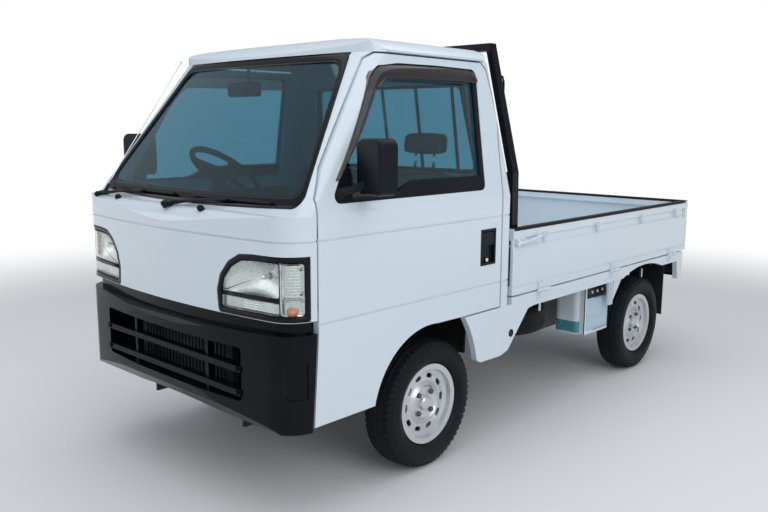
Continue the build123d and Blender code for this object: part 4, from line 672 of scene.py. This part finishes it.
# Mirror glass and foot, door lock, and the round plug low on the cab's flank
mirror = {
    "centre": (0.776, -1.262, 1.266), "width": 0.148, "height": 0.194, "depth": 0.074, "turn": -12,
    "frame": 0.012,
    # the foot: a moulded arm that swells from a round base on the door into the housing's lower corner
    "arm": [(0.666, -1.347, 1.172), (0.676, -1.344, 1.176), (0.688, -1.338, 1.181), (0.702, -1.322, 1.186),
            (0.718, -1.300, 1.192), (0.738, -1.278, 1.206)],
    "armThick": [0.0265, 0.026, 0.018, 0.0135, 0.014, 0.020],
}
doorLock = {"place": (0.6925, -0.4835, 0.838), "profile": [
    (-0.006, 0.0003), (-0.006, 0.009), (0, 0.0095), (0.002, 0.008), (0.002, 0.0045), (0.0005, 0.004),
    (0.0005, 0.0003)]}
flankPlug = {"place": (half, -0.289, 0.478), "profile": [
    (-0.004, 0.0003), (-0.004, 0.0185), (0.0015, 0.018), (0.003, 0.015), (0.0035, 0.012), (0.0018, 0.009),
    (0.0020, 0.0003)]}
turn = math.radians(mirror["turn"])
wide, high = mirror["width"] / 2 - mirror["frame"], mirror["height"] / 2 - mirror["frame"]
for sideName, side in bodySides.items():
    u, z = discRows(softOutline(rectangle(-wide, -high, wide, high), 0.030, 9), 5)
    back = mirror["depth"] / 2 + 0.0015 - np.linspace(0, 1, 5)[:, None] * 0.001
    points = mirror["centre"] + placed(u * math.cos(turn) - back * math.sin(turn),
                                       u * math.sin(turn) + back * math.cos(turn), z)
    discPiece("mirrorGlass_" + sideName, points * [side, 1, 1], mirrorGlass, "door_" + sideName, thick=0.001)
    for name, button, look, body in (("doorLock_", doorLock, chrome, "door_" + sideName),
                                     ("flankPlug_", flankPlug, lampBlack, "body")):
        addPiece(name + sideName, *turnedMesh(button["profile"], np.array(button["place"]) * [side, 1, 1],
                                              (side, 0, 0), 24), look, body)
    spot = np.linspace(0, 5, 31)
    arm = tubeMesh(smoothed(mirror["arm"], spot) * [side, 1, 1], smoothed(mirror["armThick"], spot), 20)
    addPiece("mirrorArm_" + sideName, *arm, blackTrim, "door_" + sideName)

# Aerial with its foot and tip beside the windscreen, inner mirror and washer nozzles
aerial = {
    "rod": [(-0.600, -1.528, 1.140), (-0.603, -1.500, 1.178), (-0.560, -1.153, 1.690)],
    "foot": [(-0.600, -1.548, 1.098), (-0.600, -1.540, 1.110), (-0.600, -1.531, 1.130),
             (-0.601, -1.520, 1.150)],
    "tip": [(-0.005, 0.0003), (-0.003, 0.0035), (0, 0.0045), (0.003, 0.0035), (0.005, 0.0003)],
}
addPiece("aerialRod", *tubeMesh(aerial["rod"], [0.0032, 0.0026, 0.0018], 10), chrome, "body")
addPiece("aerialFoot", *tubeMesh(aerial["foot"], [0.015, 0.013, 0.007, 0.0045], 20), lampBlack, "body")
addPiece("aerialTip", *turnedMesh(aerial["tip"], aerial["rod"][-1], (0, 0.4, 1), 16), chrome, "body")
inner = {
    "place": (-0.205, -1.075, 1.557),
    "outline": [(-0.118, -0.032), (0.118, -0.032), (0.112, 0.034), (-0.112, 0.034)],
    "deep": [-0.018, -0.015, -0.009, 0, 0.006, 0.010], "swell": [0.72, 0.90, 0.97, 1.0, 1.0, 0.97],
    "stem": [(-0.150, -1.088, 1.580), (-0.110, -1.120, 1.620), (-0.060, -1.148, 1.655)],
}
shell = softOutline(inner["outline"], 0.022, 9)
u, v = ringRows(shell * 0.86, shell, 6) * np.array(inner["swell"])[:, None]
gridPiece("innerMirror", inner["place"] + placed(u, np.array(inner["deep"])[:, None], v), blackTrim, "body",
          caps=True)
addPiece("innerMirrorStem", *tubeMesh(inner["stem"], [0.007, 0.006, 0.011]), blackTrim, "body")
washer = {"places": [(-0.392, 1.105), (0.222, 1.105)], "back": 0.033, "axis": (0, -0.75, 0.66), "profile": [
    (-0.010, 0.0003), (-0.010, 0.011), (0.003, 0.0125), (0.010, 0.0125), (0.016, 0.009), (0.019, 0.0003)]}
for index, (x, z) in enumerate(washer["places"]):
    place = (x, float(noseY(x)) + washer["back"], z)
    addPiece("washerNozzle_%d" % index, *turnedMesh(washer["profile"], place, washer["axis"]), lampBlack,
             "body")

# Wipers: a rubber blade under each holder, a tapered arm and a round cap on the pivot
wiper = {
    "pivots": [-0.560, 0.010], "back": 0.020, "pivotZ": 1.112, "blade": (0.070, 0.520), "height": 1.143,
    "bladeOff": [0.0165, 0.0165, 0.007, 0.0012, 0.0012, 0.007],
    "bladeUp": [-0.0035, 0.0035, 0.0042, 0.0012, -0.0012, -0.0042],
    # the arm's later points: along, height, height on the glass it follows, distance off the glass
    "arm": [(0.05, 1.121, 1.12, 0.022), (0.16, 1.134, 1.13, 0.024), (0.30, 1.1435, 1.143, 0.020)],
    "armThick": [0.0095, 0.0075, 0.0045],
    "cap": [(-0.012, 0.0003), (-0.012, 0.014), (0.004, 0.0155), (0.010, 0.0135), (0.014, 0.0003)],
}
for index, pivotX in enumerate(wiper["pivots"]):
    x = np.linspace(pivotX + wiper["blade"][0], pivotX + wiper["blade"][1], 60)[:, None]
    blade = placed(x, screenY(x, wiper["height"]) - wiper["bladeOff"],
                   wiper["height"] + np.array(wiper["bladeUp"]))
    gridPiece("wiperBlade_%d" % index, blade, rubberSeal, "body", caps=True)
    pivot = (pivotX, float(noseY(pivotX)) + wiper["back"], wiper["pivotZ"])
    path = [pivot] + [(pivotX + along, screenY(pivotX + along, glassZ) - off, z)
                      for along, z, glassZ, off in wiper["arm"]]
    spot = np.linspace(0, 3, 25)
    thick = np.interp(spot, [0, 0.8, 3], wiper["armThick"])
    addPiece("wiperArm_%d" % index, *tubeMesh(smoothed(path, spot), thick), lampBlack, "body")
    addPiece("wiperCap_%d" % index, *turnedMesh(wiper["cap"], pivot, (0, -0.5, 0.87)), lampBlack, "body")

# Door cards and arm rests: dark panels on the doors' inner faces
card = {"inner": 0.6335, "corners": rectangle(-1.330, 0.640, -0.470, 1.085), "radius": 0.040, "rise": 0.004,
        "rest": [(-1.130, 0.868), (-0.760, 0.868), (-0.740, 0.915), (-1.130, 0.905)],
        "restDepth": (0.590, 0.6325)}
y, z = padRings(card["corners"], card["radius"], 0.015, 16, 9)
rim = np.clip(np.linspace(0, 1, 16)[:, None] / 0.10, 0, 1) ** 0.5
groove = 0.002 * np.clip(np.cos((z - 0.86) * 2 * np.pi / 0.15) * 4 - 3, 0, 1)
for sideName, side in bodySides.items():
    discPiece("doorCard_" + sideName, placed(side * (card["inner"] - card["rise"] * rim + groove), y, z),
              seatCloth,
              "door_" + sideName, thick=0.002)
    rest = prismMesh(softOutline(card["rest"], 0.012), *card["restDepth"], lambda u, v,
                     depth: (side * depth, u, v))
    hardPiece("armRest_" + sideName, [rest], cabinPlastic, "door_" + sideName, 0.008, 3)

# Rear window's seal on the cab's back wall
rearWindow = {"foot": (0.520, 1.190), "head": (0.462, 1.597), "seal": (-0.008, 0.020),
              "radii": (0.034, 0.022),
              "rise": [0.0015, 0.006, 0.007, 0.005, 0.001, -0.004]}
(footX, footZ), (headX, headZ) = rearWindow["foot"], rearWindow["head"]
corners = [(-footX, footZ), (footX, footZ), (headX, headZ), (-headX, headZ)]
x, z = matchedRing(*(insetCorners(corners, amount) for amount in rearWindow["seal"]), *rearWindow["radii"], 6)
wallY = -0.308 - 0.090 * (z - beltHeight) / 0.574  # the back wall leans forward by 90 mm over its height
gridPiece("rearWindowSeal", placed(x, wallY + np.array(rearWindow["rise"])[:, None], z), rubberSeal, "body",
          closeCols=True, thick=0.002)
print("cab pieces done")

# Rubber strips along the gates' top edges, folded over the rail
gateStrip = {"low": -0.0095, "edge": -0.003, "rise": 0.0022, "tailOuter": 1.638,
             # inner points measured in from the outer face, and how far down the last one reaches
             "side": (-0.029, -0.0335, -0.0333, -0.0150), "tail": (-0.037, -0.0414, -0.0412, -0.0095)}
for node in ("side_gate_left", "side_gate_right", "tailgate"):
    low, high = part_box(node)
    across = node == "tailgate"
    *inner, last = gateStrip["tail" if across else "side"]
    side = -1 if low.x < -0.5 and not across else 1
    face = gateStrip["tailOuter"] if across else side * half
    out = face + side * np.array([0.0012, 0.0014, -0.003, *inner])
    up = high.z + np.array([gateStrip[key] for key in ("low", "edge", "rise", "rise", "edge")] + [last])
    start, end = (low.x, high.x) if across else (low.y, high.y)
    run = np.linspace(start + 0.004, end - 0.004, 40)[:, None]
    gridPiece("gateStrip_" + node, placed(run, out, up) if across else placed(out, run, up), rubberSeal, node,
              thick=0.0016)
print("gate strips done")

# Tail lamps: a black housing with clear, red and amber lenses side by side
tailLow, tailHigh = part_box("tail_lamps")
tail = {"inner": 0.500, "outer": 0.655, "low": 0.480, "high": 0.585, "gap": 0.001, "dome": 0.0035,
        "rib": 0.005,
        "lenses": [clearRearLens, finishes["lamp_red"], amberLens], "corner": 0.010}
third, gap = (tail["outer"] - tail["inner"]) / len(tail["lenses"]), tail["gap"]
inward = np.linspace(0, 1, 16)[:, None]
for sideName, side in bodySides.items():
    for index, look in enumerate(tail["lenses"]):
        left = tail["inner"] + third * index
        corners = rectangle(left + gap, tail["low"] + gap, left + third - gap, tail["high"] - gap)
        first, last = (tail["corner"] if index == end else 0.001 for end in (0, 2))
        x, z = padRings(corners, [first, last, last, first], 0.004, 16)
        dome = np.clip(inward / 0.10, 0, 1) ** 0.5 * tail["dome"]
        ribs = 0.0006 * np.cos(x * 2 * np.pi / tail["rib"]) * np.clip(inward / 0.2, 0, 1)
        discPiece("tailLens_%s_%d" % (sideName, index),
                  placed(side * x, tailHigh.y - 0.001 + dome + ribs, z), look,
                  "body", thick=0.003)
    base = softOutline(rectangle(tail["inner"], tail["low"], tail["outer"], tail["high"]), 0.012)
    housing = hardPiece("tailHousing_" + sideName, [prismMesh(
        base, tailLow.y, tailHigh.y - 0.003, lambda u, v, depth: (side * u, depth, v))], lampBlack, "body",
        0.003)
    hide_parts("tail_lamps")
print("tail lamps done")

# Battery box: a white tray wing ahead of it, a pale blue cover with pressed ribs, and painted shade above: a
# black plate with lumps over the battery's top
battery = {"face": 0.640, "wing": (0.500, 0.580, 0.302, 0.562),
           "cover": rectangle(0.512, 0.322, 0.736, 0.492),
           "dark": rectangle(0.512, 0.498, 0.738, 0.556), "caps": [0.560, 0.615, 0.670], "capZ": 0.530,
           "cap": [(-0.006, 0.0003), (-0.006, 0.009), (0.004, 0.0085), (0.006, 0.007), (0.006, 0.0003)]}
face, (y0, y1, z0, z1) = battery["face"], battery["wing"]
wing = [blockMesh((face - 0.010, y0, z0), (face, y1, z1)),
        blockMesh((face - 0.055, y0, z0), (face - 0.002, y0 + 0.004, z1))]
hardPiece("batteryWing", wing, whitePaint, "body", 0.0015)
y, z = padRings(battery["cover"], 0.008, 0.006, 20)
edge = np.clip(np.linspace(0, 1, 20)[:, None] / 0.15, 0, 1)
press = 0.0018 * np.clip(np.cos((z - 0.407) * 2 * np.pi / 0.060) * 2, 0, 1) * edge
discPiece("batteryCover", placed(face + 0.0002 + press, y, z), batteryBlue, "body", thick=0.003)
# a black plate with lumps: painted shade in the opening where the battery's top shows
y, z = padRings(battery["dark"], 0.006, 0.004, 22, 5)
lumps = 0.004 * np.abs(np.sin(y * 2 * np.pi / 0.047)) * np.clip(np.sin((z - 0.498) * np.pi / 0.030), 0, 1)
discPiece("batteryOpeningShade", placed(face + 0.0004 + lumps, y, z), lampBlack, "body", thick=0.003)
for index, y in enumerate(battery["caps"]):
    cap = turnedMesh(battery["cap"], (face + 0.001, y, battery["capZ"]), (1, 0, 0))
    addPiece("batteryCap_%d" % index, *cap, batteryBlue, "body")
# Coolant tank: a teal level showing through its lower quarter
coolant = {"outline": rectangle(0.463, 0.482, 0.609, 0.560), "radius": 0.034,
           "levels": [0.3005, 0.304, 0.312, 0.350, 0.371, 0.3715],
           "grow": [0.80, 0.93, 1.004, 1.006, 1.006, 0.98]}
wall = densified(softOutline(coolant["outline"], coolant["radius"], 9), 0.006)
grown = wall.mean(0) + (wall - wall.mean(0)) * np.array(coolant["grow"])[:, None, None]
points = placed(grown[..., 0], grown[..., 1], np.array(coolant["levels"])[:, None])
gridPiece("coolantLevel", points, coolantTeal, "body", caps=True)
print("side tanks done")

# Lug nuts on a ring round each hub, and the brake drum's dark face, seen through the wheel's slots: its own
# dark finish, made near black as painted shade inside the wheel
nut = {"ring": 0.055, "radius": 0.0112, "face": 0.030, "height": 0.012, "count": 4, "first": math.pi / 4,
       "drum": [(0.003, 0.058), (0.003, 0.1225), (0.0085, 0.1235), (0.0095, 0.1215), (0.0095, 0.100),
                (0.0110, 0.098),
                (0.0110, 0.070), (0.009, 0.058)]}
high, wide = nut["height"], nut["radius"]
nutProfile = [(-0.004, wide), (high * 0.8, wide), (high, wide * 0.82), (high + 0.004, wide * 0.35)]
nutAngles = nut["first"] + np.arange(nut["count"]) * 2 * np.pi / nut["count"]
for name, side in wheelBodies.items():
    centre = np.array(wheelCentres[name])
    nuts = [turnedMesh(nutProfile, centre + [side * nut["face"], nut["ring"] * math.cos(a),
                                             nut["ring"] * math.sin(a)],
                       (side, 0, 0), 6) for a in nutAngles]
    hardPiece("lugNuts_" + name, nuts, nutSteel, "wheel_" + name, 0.001)
    drum = turnedMesh(nut["drum"], centre, (side, 0, 0), 72)[0]
    addPiece("brakeDrum_" + name, drum, gridFaces(len(nut["drum"]), 72, closeRows=True), underSealAndShade,
             "wheel_" + name)
print("lug nuts done")

# Gate fittings: hinge barrels on the bed's edge, rope loops under the rolled rail, and the front latch
gateFit = {
    "hinges": [-0.075, 0.642, 1.378], "barrel": (0.008, 0.096, 0.0085), "pin": (0.7065, 0.643),
    "leaf": (0.6965, 0.7035),
    "loops": [-0.036, 0.474, 0.981, 1.441], "loopHalf": 0.014, "loopHigh": 0.918, "loopLow": 0.878,
    "rod": 0.0036,
    "tailLoops": [-0.330, 0.0, 0.330], "tailY": 1.638,
    "tailEnd": ((0.6896, 0.6914), (1.599, 1.6225), (0.684, 0.908)),
    # the latch: a cranked lever on a plate, with dark blocks over its slots as painted shade, and bridges
    "lever": [(-0.274, 0.012, 0.880), (-0.255, 0.015, 0.887), (-0.215, 0.016, 0.889), (-0.170, 0.016, 0.893),
              (-0.120, 0.017, 0.901), (-0.088, 0.019, 0.908)], "leverThick": [0.006, 0.0085, 0.0075, 0.0095],
    "plate": rectangle(-0.268, 0.860, -0.200, 0.912),
    "slots": [(-0.246, 0.898), (-0.246, 0.869), (-0.214, 0.872)],
    "bridges": [-0.264, -0.228],
}


def barrelMesh(start, length, radius):
    # A hinge barrel along the bed, with a waist a third of the way along it.
    profile = [(0, 0.55), (0.001, 0.9), (0.003, 1), (length * 0.31, 1), (length * 0.32, 0.86),
               (length * 0.345, 0.86),
               (length * 0.355, 1), (length - 0.003, 1), (length - 0.001, 0.9), (length, 0.55)]
    return turnedMesh(np.array(profile) * [1, radius], start, (0, 1, 0))


def loopMesh(place, turn):
    # A U of round rod hanging from the rail; turn maps (along the gate, out, up) to space.
    h, high, low = gateFit["loopHalf"], gateFit["loopHigh"], gateFit["loopLow"]
    leg = [(h, -0.004, high), (h, 0.006, high - 0.002), (h, 0.009, high - 0.010), (h, 0.009, low + 0.012),
           (h * 0.6, 0.009, low + 0.002)]
    corners = [(-x, y, z) for x, y, z in leg] + [(0, 0.009, low)] + leg[::-1]
    along, out, up = smoothed(corners, np.linspace(0, 10, 51)).T
    return tubeMesh(turn(along + place, out, up), gateFit["rod"], 10)


near, far, radius = gateFit["barrel"]
for sideName, side in bodySides.items():
    outward = lambda along, out, up: placed(side * (half + out), along, up)
    gate = "side_gate_" + sideName
    pinX, pinZ = gateFit["pin"]
    leafIn, leafOut = (side * x for x in gateFit["leaf"])
    barrels = [barrelMesh((side * pinX, place + near, pinZ), far - near,
                          radius) for place in gateFit["hinges"]]
    leaves = [blockMesh((leafIn, place + near + 0.006, pinZ - 0.034),
                        (leafOut, place + far - 0.006, pinZ - 0.004))
              for place in gateFit["hinges"]]
    loops = [loopMesh(place, outward) for place in gateFit["loops"]]
    addPiece("hingeBarrels_" + sideName, *joined(barrels), whitePaint, "body")
    hardPiece("hingeLeaves_" + sideName, leaves, whitePaint, "body", 0.002)
    addPiece("ropeLoops_" + sideName, *joined(loops), whitePaint, gate)
    spot = np.linspace(0, 5, 31)
    thick = np.interp(spot, [0, 1, 4, 5], gateFit["leverThick"])
    lever = tubeMesh(outward(*smoothed(gateFit["lever"], spot).T), thick, 14)
    addPiece("latchLever_" + sideName, *lever, whitePaint, gate)
    plate = prismMesh(softOutline(gateFit["plate"], 0.008), 0.693, 0.7000, lambda u, v,
                      depth: (side * depth, u, v))
    # dark blocks just proud of the plate: painted shade of the slots in the latch's bracket
    slots = [blockMesh((side * 0.6995, y, z), (side * 0.7012, y + 0.012, z + 0.006)) for y,
             z in gateFit["slots"]]
    bridges = [blockMesh((side * 0.698, y, 0.866),
                         (side * 0.708, y + 0.014, 0.908)) for y in gateFit["bridges"]]
    hardPiece("latchPlate_" + sideName, [plate], whitePaint, gate, 0.0015)
    hardPiece("latchSlotShade_" + sideName, slots, rubberSeal, gate, 0.0005)
    hardPiece("latchBridges_" + sideName, bridges, whitePaint, gate, 0.003)
# End plates close the tailgate's folded section at both ends
(inX, outX), (y0, y1), (z0, z1) = gateFit["tailEnd"]
ends = [blockMesh((side * inX, y0, z0), (side * outX, y1, z1)) for side in (1, -1)]
hardPiece("tailgateEnds", ends, whitePaint, "tailgate", 0.0004)
tailward = lambda along, out, up: placed(along, gateFit["tailY"] + out, up)
loops = [loopMesh(place, tailward) for place in gateFit["tailLoops"]]
addPiece("ropeLoops_tail", *joined(loops), whitePaint, "tailgate")
print("gate fittings done")

# Small pieces: a white tie under the left sill, a dark shroud so that only the radiator shows in the bumper's
# opening, and the guard frame's hook
small = {"tie": ((0.634, 0.038, 0.514), (0.640, 0.053, 0.566)),
         "shroud": ((-0.560, -1.5185, 0.385), (0.560, -1.5155, 0.662)),
         "hook": [(0.585, -0.238, 1.560), (0.590, -0.246, 1.600), (0.594, -0.262, 1.622),
                  (0.596, -0.282, 1.625),
                  (0.598, -0.296, 1.608), (0.598, -0.300, 1.590)]}
hardPiece("sillTie", [blockMesh(*small["tie"])], whitePaint, "body", 0.002)
hardPiece("airShroud", [blockMesh(*small["shroud"])], lampBlack, "body", 0.001)
addPiece("guardHook", *tubeMesh(small["hook"], 0.0045), finishes["guard_paint"], "body")
print("small pieces done")

seat = {
    "centre": 0.300, "voxel": 0.008, "pressure": 4.0, "frames": 20, "cap": 0.022,
    # name, front-to-back and up corners of the side profile (y, z), half width, corner radius, fill
    "parts": [
        ("seatCushion", [(-1.066, 0.652), (-1.076, 0.752), (-1.050, 0.782), (-0.700, 0.760), (-0.606, 0.752),
                         (-0.590, 0.652)], 0.212, 0.030, 0.6),
        ("seatBack", [(-0.596, 0.742), (-0.503, 1.222), (-0.432, 1.222), (-0.482, 0.735)], 0.205, 0.034, 0.6),
        ("headrest", [(-0.476, 1.280), (-0.466, 1.372), (-0.405, 1.372), (-0.408, 1.280)], 0.105, 0.024, 0.7),
    ],
    "pan": [(-1.055, 0.6405), (-1.060, 0.668), (-0.520, 0.668), (-0.515, 0.6405)],
    "recliner": [(-0.640, 0.660), (-0.600, 0.800), (-0.555, 0.860), (-0.500, 0.850), (-0.470, 0.720),
                 (-0.490, 0.660)],
    "posts": [(0.055, -0.450, 1.200), (0.055, -0.444, 1.250), (0.055, -0.436, 1.310)],
}


def cushionMesh(corners, halfWidth, radius):
    # The side profile swept across, drawn in towards both ends, with its end faces as shrinking rings.
    outline = densified(softOutline(corners, radius, 9), 0.014)
    centre = outline.mean(0)
    t = np.sin(np.linspace(-1, 1, 33) * np.pi / 2)
    pull = 1 - 0.075 * np.abs(t) ** 6 - 0.02 * t ** 2
    inward = np.array([0.93, 0.75, 0.5, 0.25, 0.04])
    bulged = halfWidth + 0.012 * (1 - inward ** 2)
    across = np.concatenate([-bulged[::-1], t * halfWidth, bulged])[:, None]
    pull = np.concatenate([(inward * pull[0])[::-1], pull, inward * pull[-1]])[:, None]
    y, z = (centre[k] + (outline[:, k] - centre[k]) * pull for k in (0, 1))
    return placed(across, y, z), cappedFaces(len(across), len(outline))


def vertexPlaces(mesh):
    flat = np.zeros(len(mesh.vertices) * 3)
    mesh.vertices.foreach_get("co", flat)
    return flat.reshape(-1, 3)


def moveVertices(mesh, places):
    mesh.vertices.foreach_set("co", places.ravel())
    mesh.update()


def puffed(piece):
    # Cloth with air pressure swells the form a little; no point moves more than the cap.
    remesh = piece.modifiers.new("remesh", "REMESH")
    remesh.mode, remesh.voxel_size = "VOXEL", seat["voxel"]
    graph = bpy.context.evaluated_depsgraph_get()
    piece.data = bpy.data.meshes.new_from_object(piece.evaluated_get(graph))
    piece.modifiers.clear()
    before = vertexPlaces(piece.data)
    cloth = piece.modifiers.new("cloth", "CLOTH")
    cloth.settings.use_pressure, cloth.settings.uniform_pressure_force = True, seat["pressure"]
    cloth.settings.effector_weights.gravity = 0
    cloth.settings.quality = 4
    for frameNumber in range(1, seat["frames"] + 1):
        bpy.context.scene.frame_set(frameNumber)
    graph = bpy.context.evaluated_depsgraph_get()
    move = vertexPlaces(bpy.data.meshes.new_from_object(piece.evaluated_get(graph))) - before
    size = np.maximum(np.linalg.norm(move, axis=1, keepdims=True), 1e-9)
    piece.modifiers.clear()
    moveVertices(piece.data, before + move * np.minimum(size, seat["cap"]) / size)
    bpy.context.scene.frame_set(1)
    piece.data.polygons.foreach_set("use_smooth", [True] * len(piece.data.polygons))
    piece.data.materials.clear()
    piece.data.materials.append(seatCloth)


for name, corners, halfWidth, radius, fill in seat["parts"]:
    points, faces = cushionMesh(corners, halfWidth, radius)
    first = addPiece(name + "_left", points, faces, seatCloth, "body", slot="seat_vinyl")
    puffed(first)
    moveVertices(first.data, vertexPlaces(first.data) + [seat["centre"], 0, 0])
    facesNow = [list(p.vertices) for p in first.data.polygons]
    second = addPiece(name + "_right", vertexPlaces(first.data) * [-1, 1, 1], facesNow, seatCloth, "body",
                      slot="seat_vinyl")
    for piece in (first, second):
        smoother = piece.modifiers.new("smoother", "SUBSURF")
        smoother.levels = smoother.render_levels = 1
        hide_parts("seats")
# Seat frames under the cushions, recliner covers and the headrests' posts
for sideName, side in bodySides.items():
    seatX = side * seat["centre"]
    posts = [tubeMesh(np.array(seat["posts"]) * [end, 1, 1] + [seatX, 0, 0], 0.006) for end in (-1, 1)]
    addPiece("headrestPosts_" + sideName, *joined(posts), chrome, "body")
    pan = prismMesh(softOutline(seat["pan"], 0.006, 5), -0.200, 0.200, lambda u, v,
                    depth: (seatX + depth, u, v))
    hardPiece("seatPan_" + sideName, [pan], cabinPlastic, "body", 0.003)
    for end in (-1, 1):
        cover = prismMesh(softOutline(seat["recliner"], 0.030), 0.206, 0.222,
                          lambda u, v, depth: (seatX + end * depth, u, v))
        hardPiece("recliner_%s_%d" % (sideName, end + 1), [cover], cabinPlastic, "body", 0.004)
print("seats done")

# Studio: pale floor, soft lamps, and the camera where the photographer stood
studio = {
    "floor": 0.80, "world": 0.45, "fade": (3.2, 6.5), "camera": (2.65493, -3.23955, 1.4103), "yaw": 42.97,
    "pitch": -9.43, "roll": 0.26, "lens": 790.92 * 36 / 768,
    # name, place, size, power, tint
    "lamps": [("overhead", (0.5, -0.5, 5.0), (7, 7), 150, (0.97, 0.985, 1.0)),
              ("keySoft", (5.6, -2.2, 3.2), (4.5, 3), 95, (1, 1, 1)),
              ("fillSoft", (-4.0, -5.0, 2.6), (4, 3), 45, (1, 1, 1))],
}
floorMesh = bpy.data.meshes.new("floor")
floorMesh.from_pydata([(-40, -40, 0), (40, -40, 0), (40, 40, 0), (-40, 40, 0)], [], [[0, 1, 2, 3]])
floor = bpy.data.objects.new("floor", floorMesh)
bpy.context.scene.collection.objects.link(floor)
floorMaterial, floorTree, floorShader = newMaterial("paleFloor")
setInputs(floorTree, floorShader, [("Base Color", (*[studio["floor"]] * 3, 1)), ("Roughness", 0.9),
                                   ("Specular IOR Level", 0.1)])
# Away from the truck the floor turns into the backdrop's white, for what the camera, mirrors and glass see
floorPlace = setNode(floorTree, "ShaderNodeTexCoord").outputs["Object"]
reach = setNode(floorTree, "ShaderNodeVectorMath", [(0, floorPlace)], operation="LENGTH").outputs["Value"]
faded = rangeNode(floorTree, reach, *studio["fade"], interpolation_type="SMOOTHSTEP")
path = setNode(floorTree, "ShaderNodeLightPath").outputs
seen = mathNode(floorTree, "MAXIMUM", path["Is Camera Ray"], path["Is Glossy Ray"])
seen = mathNode(floorTree, "MAXIMUM", seen, path["Is Transmission Ray"])
white = setNode(floorTree, "ShaderNodeEmission", [("Strength", 1.0)]).outputs["Emission"]
blended = setNode(floorTree, "ShaderNodeMixShader", [
    (0, mathNode(floorTree, "MULTIPLY", faded, seen)), (1, floorShader.outputs["BSDF"]),
    (2, white)]).outputs["Shader"]
setInputs(floorTree, floorTree.nodes["Material Output"], [("Surface", blended)])
floorMesh.materials.append(floorMaterial)

for name, place, size, power, tint in studio["lamps"]:
    light = bpy.data.lights.new(name, "AREA")
    light.shape, light.size, light.size_y, light.energy, light.color = "RECTANGLE", *size, power, tint
    lightObject = bpy.data.objects.new(name, light)
    bpy.context.scene.collection.objects.link(lightObject)
    lightObject.location = place
    lightObject.rotation_mode = "QUATERNION"
    lightObject.rotation_quaternion = (Vector(place) - Vector((0, 0, 0.8))).to_track_quat("Z", "Y")

world = bpy.data.worlds.new("studioWorld")
bpy.context.scene.world = world
world.use_nodes = True
path = setNode(world.node_tree, "ShaderNodeLightPath").outputs
backdrop = mathNode(world.node_tree, "MAXIMUM", path["Is Camera Ray"], path["Is Transmission Ray"])
setInputs(world.node_tree, world.node_tree.nodes["Background"], [
    ("Strength", rangeNode(world.node_tree, backdrop, 0.0, 1.0, studio["world"], 1.0)),
    ("Color", mixNode(world.node_tree, backdrop, (0.86, 0.91, 1.0, 1), (1, 1, 1, 1)))])

yaw, pitch, roll = (math.radians(studio[k]) for k in ("yaw", "pitch", "roll"))
ahead = np.array([-math.sin(yaw) * math.cos(pitch), math.cos(yaw) * math.cos(pitch), math.sin(pitch)])
right = np.array([math.cos(yaw), math.sin(yaw), 0])
up = np.cross(right, ahead)
right, up = right * math.cos(roll) + up * math.sin(roll), -right * math.sin(roll) + up * math.cos(roll)
cameraData = bpy.data.cameras.new("camera")
cameraData.lens, cameraData.sensor_width = studio["lens"], 36
camera = bpy.data.objects.new("camera", cameraData)
bpy.context.scene.collection.objects.link(camera)
turned = [[right[i], up[i], -ahead[i], studio["camera"][i]] for i in range(3)]
camera.matrix_world = Matrix(turned + [[0, 0, 0, 1]])
bpy.context.scene.camera = camera
bpy.context.scene.view_settings.view_transform = "Standard"
print("studio done")
